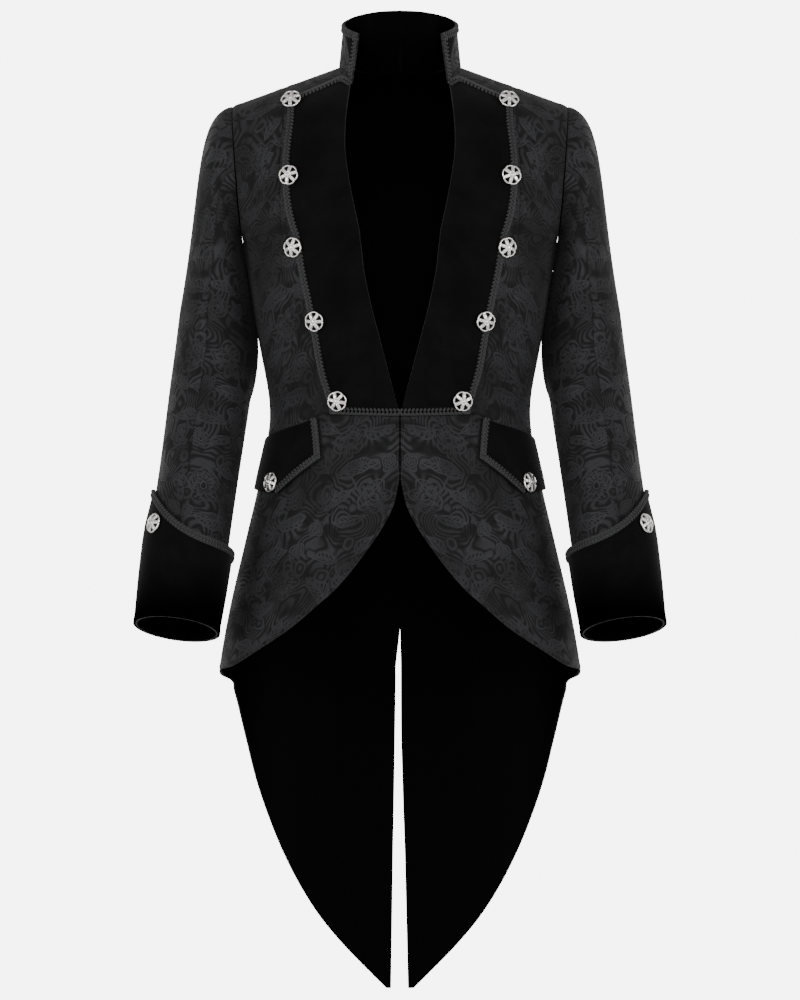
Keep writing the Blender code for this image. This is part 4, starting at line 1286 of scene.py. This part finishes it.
def make_skirts():
    """The cutaway skirts below the waist, hemmed along the front and below."""
    points, normals, places = on_body(finer(skirt_cells(SKIRT_SHARES, front_edge_u, princess_u)))
    away = edge_distances(points)
    relief = hem_relief(np.minimum(away[1], away[2])) + seam_relief(away[3]) + seam_relief(away[0])
    panel = pull_in(points, top=SEAM / 2, right=SEAM / 2)
    for name, side in both("skirt"):
        piece = sewn(name, panel, places, normals, BROCADE, SATIN,
                     ["front" + name[5:], "side" + name[5:]], relief=relief, side=side)
        lines = [inset_line(points, normals, index, axis, HEM_STITCH, STITCH_LIFT, side)
                 for index, axis in ((-1, 0), (0, 1))]
        declare(piece, "brocade", [stitched(name, lines, side)])


def make_sides():
    """Side panels from the armhole to the hem."""
    points, normals, places = on_body(finer(side_cells()))
    away = edge_distances(points)
    relief = hem_relief(away[1]) + seam_relief(away[2]) + seam_relief(away[3])
    panel = pull_in(points, top=SEAM / 2, left=SEAM / 2, right=SEAM / 2)
    for name, side in both("side"):
        piece = sewn(name, panel, places, normals, BROCADE, SATIN, ["back" + name[4:]],
                     relief=relief, side=side)
        lines = [inset_line(points, normals, -1, 0, HEM_STITCH, STITCH_LIFT, side)]
        declare(piece, "brocade", [stitched(name, lines, side)])


def make_backs():
    """Back panels with their tails, and the lining that shows inside them."""
    for (name, side), (lining_name, _) in zip(both("back"), both("lining")):
        fine = finer(back_cells(side))
        points, normals, places = on_body(fine)
        away = edge_distances(points)
        tail, vent = fine[..., 1] > SIDE_HEM, fine[..., 1] > VENT[1][0]
        relief = np.where(tail, hem_relief(away[3]), seam_relief(away[3]))
        relief += np.where(vent, hem_relief(away[2]), seam_relief(away[2])) + hem_relief(away[1])
        panel = pull_in(points, top=SEAM, right=SEAM / 2)
        panel[~vent[:, 0], 0, 0] = 0
        piece = sewn(name, panel, places, normals, BROCADE, SATIN, ["wearer_shoulders"],
                     relief=relief, side=side)
        lines = [inset_line(points, normals, index, 1, HEM_STITCH, STITCH_LIFT, side,
                            int(np.argmax(hemmed)), -2)
                 for index, hemmed in ((-1, tail[:, -1]), (0, vent[:, 0]))]
        stitches = stitched(name, lines, side)
        lining = pull_in(points, top=2 * CLOTH, bottom=CLOTH, left=SEAM / 2, right=2 * SEAM)
        lining = lining - normals * (CLOTH + 2 * LIFT)
        lining[~vent[:, 0], 0, 0] = 0
        inner = sewn(lining_name, lining, places, normals, SATIN, SATIN, [name], "laid", LINING,
                     side=side)
        declare(piece, "brocade", [stitches])
        declare(inner, "lining")


# ---------------------------------------------------------------------- sleeves
def ring_point(angle, place):
    """Points of the sleeve below the upper arm. Angle 0 is its outer side."""
    z, x, y, width, depth, roll, pitch = np.moveaxis(sleeve_ring(place), -1, 0)
    angle = angle - SLEEVE_TWIST
    roll, pitch = np.radians(roll), np.radians(pitch)
    none = np.zeros_like(roll)
    outward = np.stack((np.cos(roll), none, np.sin(roll)), axis=-1)
    forward = np.stack((none, -np.cos(pitch), np.sin(pitch)), axis=-1)
    return (np.stack((x, y, z), axis=-1) + outward * (width / 2 * np.cos(angle))[..., None]
            + forward * (depth / 2 * np.sin(angle))[..., None])


def armhole(angle):
    wrapped = (angle + math.pi) % (FULL_TURN) - math.pi
    return edge(-wrapped / math.pi * ARM_DEPTH)


def sleeve_point(angle, place):
    """Places run from -1 at the armhole over 0 at the upper arm to the wrist."""
    angle, place = np.broadcast_arrays(np.asarray(angle, float), np.asarray(place, float))
    t = np.clip(place + 1, 0, 1)[..., None]
    top = (1 + np.cos(angle)) / 2           # 1 on the shoulder, 0 under the arm
    none = np.zeros_like(top)
    start = armhole(angle)
    end = ring_point(angle, np.zeros_like(angle))
    first = start + np.stack((.010 + .0370 * top, -.006 * np.sin(angle), -.001 - .010 * top), -1)
    second = end + np.stack((.002 - .0305 * top, none, .040 + .120 * top), -1)
    head = ((1 - t) ** 3 * start + 3 * t * (1 - t) ** 2 * first
            + 3 * t * t * (1 - t) * second + t ** 3 * end)
    return np.where((place >= 0)[..., None], ring_point(angle, np.maximum(place, 0)), head)


def sleeve_normal(angle, place, step=1e-3):
    angle, place = np.broadcast_arrays(np.asarray(angle, float), np.asarray(place, float))
    ahead = np.maximum(FIRST_RING - 1 - place, step)
    along = sleeve_point(angle, place + ahead) - sleeve_point(angle, np.maximum(place - step, -1))
    around = sleeve_point(angle + step, place) - sleeve_point(angle - step, place)
    return unit(np.cross(around, along))


def arm_angles():
    """Angles of the armhole's cuts, once round from the back seam."""
    front = [math.pi * level / ARM_DEPTH for level in ARM_ROWS_FRONT]
    back = [-math.pi * level / ARM_DEPTH for level in ARM_ROWS_BACK[1:]]
    angles = sorted(front + back[:-1])
    first = min(range(len(angles)), key=lambda i: abs(angles[i] - BACK_SEAM))
    return angles[first:] + [a + FULL_TURN for a in angles[:first + 1]]


def make_sleeves():
    angles = arm_angles()
    split = min(range(len(angles)), key=lambda i: abs(angles[i] - FRONT_SEAM))
    rows = [-1, FIRST_RING - 1, -.72, -.5, -.25] + list(range(WRIST + 1))
    for piece, part, drift in (("sleeve_outer", angles[:split + 1], (.05, .03)),
                               ("sleeve_inner", angles[split:], (.31, .11))):
        cells = finer([[(angle, row) for angle in part] for row in rows], sleeve_point)
        points = sleeve_point(cells[..., 0], cells[..., 1])
        normals = sleeve_normal(cells[..., 0], cells[..., 1])
        places = lengths_along(points) * (1, -1) + drift
        away = edge_distances(points)
        relief = seam_relief(away[2]) + seam_relief(away[3]) + .4 * seam_relief(away[0])
        panel = pull_in(points, top=2 * SEAM, left=SEAM / 2, right=SEAM / 2)
        for name, side in both(piece):
            arm = name.rsplit("_", 1)[1]
            made = sewn(name, panel, places, normals, BROCADE, SATIN,
                        ["side_" + arm, "back_" + arm], relief=relief, side=side)
            declare(made, "brocade")


def cuff_top(angle):
    """Height of the turned-back cuff's upper edge above the wrist."""
    return CUFF_TOP + CUFF_PEAK * ((1 + np.cos(angle - SLEEVE_TWIST)) / 2) ** 3


def cuff_point(angle, height):
    """Points of the cuff's inner face, and their normals."""
    place = WRIST - height / RING_STEP
    normal = sleeve_normal(angle, place)
    stand = LIFT + CUFF_FLARE * np.interp(height, *zip(*CUFF_STAND))
    return sleeve_point(angle, place) + normal * stand[..., None], normal


def make_cuffs():
    """Turned-back velvet cuffs with braid round their upper edge."""
    angles = np.linspace(-math.pi, math.pi, 97)[:-1]
    tops = cuff_top(angles)
    shares = np.linspace(0, 1, 30)[:, None]
    heights = shares * tops
    around = np.broadcast_to(angles, heights.shape)
    points, normals = cuff_point(around, heights)
    places = lengths_along(points) * (1, -1)
    hem = .0006 * np.clip((.0075 - heights) / .002, 0, 1)
    slouch = CUFF_SOFTNESS * np.sin(2 * around + .6) * np.sin(math.pi * shares) ** 2
    band_heights = tops - BRAID_WIDTH * np.linspace(1, 0, 5)[:, None]
    band_points, band_normals = cuff_point(np.broadcast_to(angles, band_heights.shape),
                                           band_heights)
    middle_points, middle_normals = cuff_point(angles, tops - BRAID_WIDTH / 2)
    lift = CLOTH + LIFT
    for (name, side), (braid_name, _) in zip(both("cuff"), both("cuff_braid")):
        arm = name.rsplit("_", 1)[1]
        piece = sewn(name, points, places, normals, VELVET, VELVET, ["sleeve_outer_" + arm],
                     "folded", raise_by=HAIR, relief=hem + slouch, side=side, closed=True)
        points_up, ups, _ = laid((middle_points, middle_normals, lift + BRAID_RISE), side)
        declare(piece, "velvet", braided(braid_name, [(points_up, ups, True)], band_points,
                                         band_normals, lengths_along(band_points), lift, side,
                                         closed=True))


# ----------------------------------------------------------------------- collar
def collar_base():
    """Half the collar's foot from the front corner to the nape, and shares round it."""
    front, back = finer(front_cells())[0], finer(back_cells())[0][::-1]
    front = front[front[:, 0] < NECK_U - HAIR]
    back = back[back[:, 0] <= NECK_U + HAIR]
    table = np.concatenate((front, back))
    table[-1, 0] = 0
    base = body(table[:, 0], table[:, 1])
    lengths = lengths_from_start(base, 0)
    return base, lengths / lengths[-1]


def collar_grid(shares, heights, base, base_shares):
    """Points and normals at places (share round, share of height)."""

    def point(share, height):
        foot = np.stack([np.interp(share, base_shares, base[:, axis]) for axis in range(3)], -1)
        foot[..., 2] += SEAM - COLLAR_TUCK * np.clip((share - .3) / .3, 0, 1)
        return foot + (collar_top(share) - foot) * np.asarray(height)[..., None]

    step = .01
    ahead, behind = np.minimum(shares + step, 1), np.maximum(shares - step, 0)
    none = np.zeros_like(shares)
    normals = unit(np.cross(point(ahead, heights) - point(behind, heights),
                            point(shares, none + 1) - point(shares, none)))
    return point(shares, heights), normals


def make_collar():
    """Stand collar with its braid, and on each front a velvet patch and its edging."""
    base, base_shares = collar_base()
    half = np.linspace(0, 1, 49)
    height = np.linspace(0, 1, 15)
    shares, heights = np.meshgrid(half, height)
    points, normals = collar_grid(shares, heights, base, base_shares)
    normals[:, -1, 0] = 0
    flip = np.array((-1, 1, 1))
    points = np.concatenate((points, points[:, -2::-1] * flip), axis=1)
    normals = np.concatenate((normals, normals[:, -2::-1] * flip), axis=1)
    away = edge_distances(points)
    places = lengths_along(points) * (1, -1) + (.07, .05)
    made = sewn("collar", points, places, normals, BROCADE, SATIN,
                ["back_left", "back_right", "front_left", "front_right"], "stretched",
                relief=0.5 * seam_relief(away[1]))
    border = np.minimum(away[1], np.minimum(away[2], away[3])) < BRAID_WIDTH * .9
    lift = LIFT + BRAID_RISE
    lines = [inset_line(points, normals, index, axis, BRAID_WIDTH / 2, lift, 0, first, -1)
             for index, axis, first in ((-1, 0, 1), (0, 1, 0), (-1, 1, 0))]
    ground = shell("collar_braid_ground", points, normals, BRAID, GIMP, GIMP, places,
                   raise_by=LIFT, keep=cells_within(border))
    cords = bead_piece("collar_braid", BRAID_TREE, lines, GIMP)
    trims = [trim_piece(ground, "braid"), trim_piece(cords, "braid", "collar_braid")]
    rows = smooth_steps(COLLAR_PATCH, [4] * (len(COLLAR_PATCH) - 1), 0)
    across = np.linspace(0, 1, 9)
    patch_shares = rows[:, 1:2] + (rows[:, 2:3] - rows[:, 1:2]) * across
    trim_middle = (rows[:, 2] + rows[:, 3]) / 2
    patch_heights = np.broadcast_to(rows[:, :1], patch_shares.shape)
    points, normals = collar_grid(patch_shares, patch_heights, base, base_shares)
    patch = pull_in(points, left=SEAM, right=SEAM / 2)
    trim_points, trim_normals = collar_grid(trim_middle, rows[:, 0], base, base_shares)
    for (name, side), (trim_name, _) in zip(both("collar_patch"), both("collar_trim")):
        piece = sewn(name, patch, lengths_along(patch), normals, VELVET, VELVET, ["collar"],
                     "laid", CLOTH / 2, raise_by=2 * LIFT, side=side)
        line = (trim_points + trim_normals * (lift + LIFT), trim_normals, False)
        narrow = bead_piece(trim_name, BRAID_TREE, [line], GIMP, side, length=.0034, width=.0015,
                            height=.0014, pitch=.0016, offset=.0012)
        trim_piece(narrow, "braid", trim_name)
        declare(piece, "velvet", [narrow])
    declare(made, "brocade", trims)


# ----------------------------------------------------------------- pocket flaps
def flap_cells(parts, shares):
    upper = [(row[0], row[1]) for row in FLAP]
    lower = [(row[0], row[2]) for row in FLAP]
    cells = []
    for part in parts:
        first = FLAP_FRONT[0] + (FLAP_FRONT[1] - FLAP_FRONT[0]) * part
        cells.append([(first + (FLAP_BACK - first) * share,
                       between(upper, share) * (1 - part) + between(lower, share) * part)
                      for share in shares])
    return np.array(cells, float)


def make_flaps():
    """Velvet pocket flaps, braided down the front edge and along to the point."""
    parts = np.linspace(0, 1, 21)
    shares = np.linspace(0, 1, 49)
    cells = flap_cells(parts, shares)
    v, depth = cells[..., 0], cells[..., 1]
    u, q = np.where(v <= 1, v, 2 - v), np.where(v <= 1, -depth, depth)
    points, normals = body(u, q), body_normal(u, q)
    places = lengths_along(points) * (1, -1)
    stand = FLAP_LIFT + FLAP_STAND * parts[:, None] * np.ones(len(shares))
    away = edge_distances(points)
    plump = .0010 * np.clip(np.minimum(np.minimum(away[0], away[1]), away[2]) / .012, 0, 1)
    border = np.minimum(away[2], np.where(shares <= FLAP_POINT + .02, away[1], 1)) < BRAID_WIDTH
    last = int(np.searchsorted(shares, FLAP_POINT))
    lifted = points + normals * stand[..., None]
    lift = CLOTH + LIFT
    for (name, side), (braid_name, _) in zip(both("flap"), both("flap_braid")):
        piece = sewn(name, points, places, normals, VELVET, VELVET, ["side" + name[4:]], "hung",
                     raise_by=stand, relief=plump * .4, side=side)
        lines = [inset_line(lifted, normals, index, axis, BRAID_WIDTH / 2, lift + BRAID_RISE,
                            side, *ends) for index, axis, *ends in ((0, 1, 0, -1),
                                                                    (-1, 0, 1, last + 1))]
        declare(piece, "velvet", braided(braid_name, lines, points, normals, places,
                                         stand + lift, side, keep=cells_within(border)))


# ---------------------------------------------------------------------- buttons
def button_points(turns=96, rings=26):
    """A pierced dome: six drop-shaped hollows, a boss, and a rim of six lobes."""
    share = np.linspace(0, 1, rings)[:, None]
    angle = np.linspace(0, FULL_TURN, turns, endpoint=False)[None, :]
    lobe = np.abs(np.cos(angle * HOLES / 2))
    radius = share * BUTTON_RADIUS * (.93 + .07 * lobe ** .6)
    height = BUTTON_HEIGHT * np.sqrt(np.maximum(1 - (share * .93) ** 2, 0))
    height = (height - height[-1]) * .92 + .0012 + 0 * angle
    boss = .0009 * np.clip((.18 - share) / .07, 0, 1) ** .5
    ring = ridge(share, .34, .05, .0004)
    rim = ridge(share, .93, .05, .0005)
    middle = (share - .27) / .60
    width = .76 * np.clip(middle, 0, 1) ** .55
    aside = np.abs((angle * HOLES / (FULL_TURN) + .5) % 1 - .5) * 2
    drop = (np.clip((width - aside) / .12, 0, 1)
            * np.clip(middle / .10, 0, 1) * np.clip((1 - middle) / .12, 0, 1))
    groove = np.clip(1 - np.abs(share - .215) / .035, 0, 1)
    hollow = np.maximum(drop, .8 * groove)
    height = height + boss + ring + rim - .0026 * drop - .0005 * groove
    return radius, angle + 0 * share, np.maximum(height, .0004), hollow + 0 * angle


def make_button(name, point, normal, side, spin):
    radius, angle, height, hollow = button_points()
    rings, turns = radius.shape
    local = np.stack((radius * np.cos(angle), radius * np.sin(angle), height), axis=-1)[1:]
    crown = [[0, 0, float(height[0, 0])]]
    foot = [[.92 * x, .92 * y, 0] for x, y, _ in local[-1]]
    verts = crown + local.reshape(-1, 3).tolist() + foot + [[0, 0, 0]]
    faces = [(0, 1 + j, 1 + (j + 1) % turns) for j in range(turns)]
    for i in range(rings - 1):
        for j in range(turns):
            a, b = 1 + i * turns + j, 1 + i * turns + (j + 1) % turns
            faces.append((a, a + turns, b + turns, b))
    base = 1 + (rings - 1) * turns
    faces += [(len(verts) - 1, base + (j + 1) % turns, base + j) for j in range(turns)]
    mesh = bpy.data.meshes.new(name)
    mesh.from_pydata(verts, [], faces)
    attribute = mesh.attributes.new("hollow", "FLOAT", "POINT")
    depth = np.concatenate(([0], hollow[1:].ravel(), np.full(turns, .6), [.6]))
    attribute.data.foreach_set("value", depth.astype(np.float32))
    way = Vector((float(normal[0] * side), float(normal[1]), float(normal[2])))
    matrix = way.to_track_quat("Z", "Y").to_matrix().to_4x4()
    matrix.translation = Vector((float(point[0] * side), float(point[1]), float(point[2])))
    turn = Vector((0, 0, 1))
    mesh.transform(matrix @ Matrix.Rotation(float(spin), 4, turn))
    mesh.shade_smooth()
    return trim_piece(new_piece(name, mesh, SILVER), "silver", name)


def make_buttons():
    on_braid = CLOTH + BRAID + .0009 + 3 * LIFT
    spins = np.random.default_rng(7).uniform(0, FULL_TURN / HOLES, 14)
    for number, (x, depth) in enumerate(LAPEL_BUTTONS, 1):
        u = u_at(depth, x)
        point, normal = body(u, -depth), body_normal(u, -depth)
        way = unit(normal + np.array((0, -HANG[number - 1], 0)))
        for name, side in both(f"button_{number}"):
            spin = spins[number + (5 if side < 0 else 0)]
            lift = on_braid + LIFT + float(crease_height(point[None], side)[0])
            lift += .8 * BUTTON_RADIUS * float(np.linalg.norm(np.cross(normal, way)))
            make_button(name, point + normal * lift, way, side, spin)
    u, depth = FLAP_BUTTON
    point, normal = body(u, -depth), body_normal(u, -depth)
    on_flap = FLAP_LIFT + FLAP_STAND + CLOTH + 2 * LIFT
    for name, side in both("button_flap"):
        lift = on_flap + float(crease_height(point[None], side)[0])
        make_button(name, point + normal * lift, normal, side, spins[11 + int(side > 0)])
    point, normal = cuff_point(np.array([CUFF_BUTTON[0]]), np.array([CUFF_BUTTON[1]]))
    for name, side in both("button_cuff"):
        lift = CLOTH + 3 * LIFT + float(crease_height(point, side)[0])
        make_button(name, point[0] + normal[0] * lift, normal[0], side, spins[int(side > 0)])


# ------------------------------------------------------------ studio and camera
CAMERA_DISTANCE = 6.0
CAMERA_HEIGHT = -0.5265     # level with the middle of the coat
VIEW_HEIGHT = 1.216         # metres seen from top to bottom of the picture
FLOOR_Z = -1.47             # under the wearer's feet
SENSOR = 36.0
BACKDROP = 6.5              # brightness of the white backdrop as the camera sees it
AMBIENT = 0.62              # and as light on the coat
AIM = (0, 0, -.45)          # where the lamps point
FLOOR_RADIUS = 3
FLOOR_CORNERS = 64

# Soft lamps. Columns: name, place, width of the disc, watts.
LAMPS = (("left", (-4.0, -3.2, .1), 2.4, 110), ("right", (4.0, -3.2, .1), 2.4, 110),
         ("front", (0, -5.2, .9), 2.2, 70), ("rear_left", (-3.0, 4.0, .8), 2.4, 25),
         ("rear_right", (3.0, 4.0, .8), 2.4, 25))


def make_studio():
    data = bpy.data.cameras.new("camera")
    data.sensor_width = SENSOR
    data.lens = SENSOR * CAMERA_DISTANCE / VIEW_HEIGHT
    data.clip_end = 100
    camera = bpy.data.objects.new("camera", data)
    camera.location = (0, -CAMERA_DISTANCE, CAMERA_HEIGHT)
    camera.rotation_euler = (math.pi / 2, 0, 0)
    bpy.context.scene.collection.objects.link(camera)
    bpy.context.scene.camera = camera
    mesh = bpy.data.meshes.new("floor")
    ring = [(FLOOR_RADIUS * math.cos(a), FLOOR_RADIUS * math.sin(a), FLOOR_Z)
            for a in np.linspace(0, FULL_TURN, FLOOR_CORNERS, endpoint=False)]
    mesh.from_pydata(ring, [], [tuple(range(FLOOR_CORNERS))])
    material, tree, shader = new_material("painted_floor")
    place = add(tree, "ShaderNodeTexCoord").outputs["Object"]
    cloud = add(tree, NOISE, inputs={"Vector": place, "Scale": 1.5})
    colour = add(tree, MIX, data_type="RGBA",
                 inputs={0: cloud, 6: linear("e6e6e6"), 7: linear("ececec")})
    feed(tree, shader, {"Base Color": colour.outputs[2], "Roughness": .8})
    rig.stage(new_piece("floor", mesh, material))
    world = bpy.data.worlds.new("studio")
    world.use_nodes = True
    bpy.context.scene.world = world
    nodes = world.node_tree
    background = nodes.nodes["Background"]
    seen = add(nodes, "ShaderNodeLightPath").outputs["Is Camera Ray"]
    strength = add(nodes, MATH, seen, BACKDROP - AMBIENT, AMBIENT, operation="MULTIPLY_ADD")
    nodes.links.new(strength.outputs[0], background.inputs["Strength"])
    background.inputs["Color"].default_value = (1, 1, 1, 1)
    for name, place, size, power in LAMPS:
        light = bpy.data.lights.new(name, "AREA")
        light.shape = "DISK"
        light.size = size
        light.energy = power
        lamp = bpy.data.objects.new(name, light)
        lamp.location = place
        aim = Vector(AIM) - Vector(place)
        lamp.rotation_mode = "QUATERNION"
        lamp.rotation_quaternion = aim.to_track_quat("-Z", "Y")
        bpy.context.scene.collection.objects.link(lamp)


make_studio()
make_fronts()
make_skirts()
make_sides()
make_backs()
make_sleeves()
make_cuffs()
make_collar()
make_flaps()
make_buttons()

with open("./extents.json", "w") as out:
    visual_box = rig.bounds()
    json.dump({"cad": [list(corner) for corner in cad_box],
               "visual": [list(corner) for corner in visual_box]}, out)
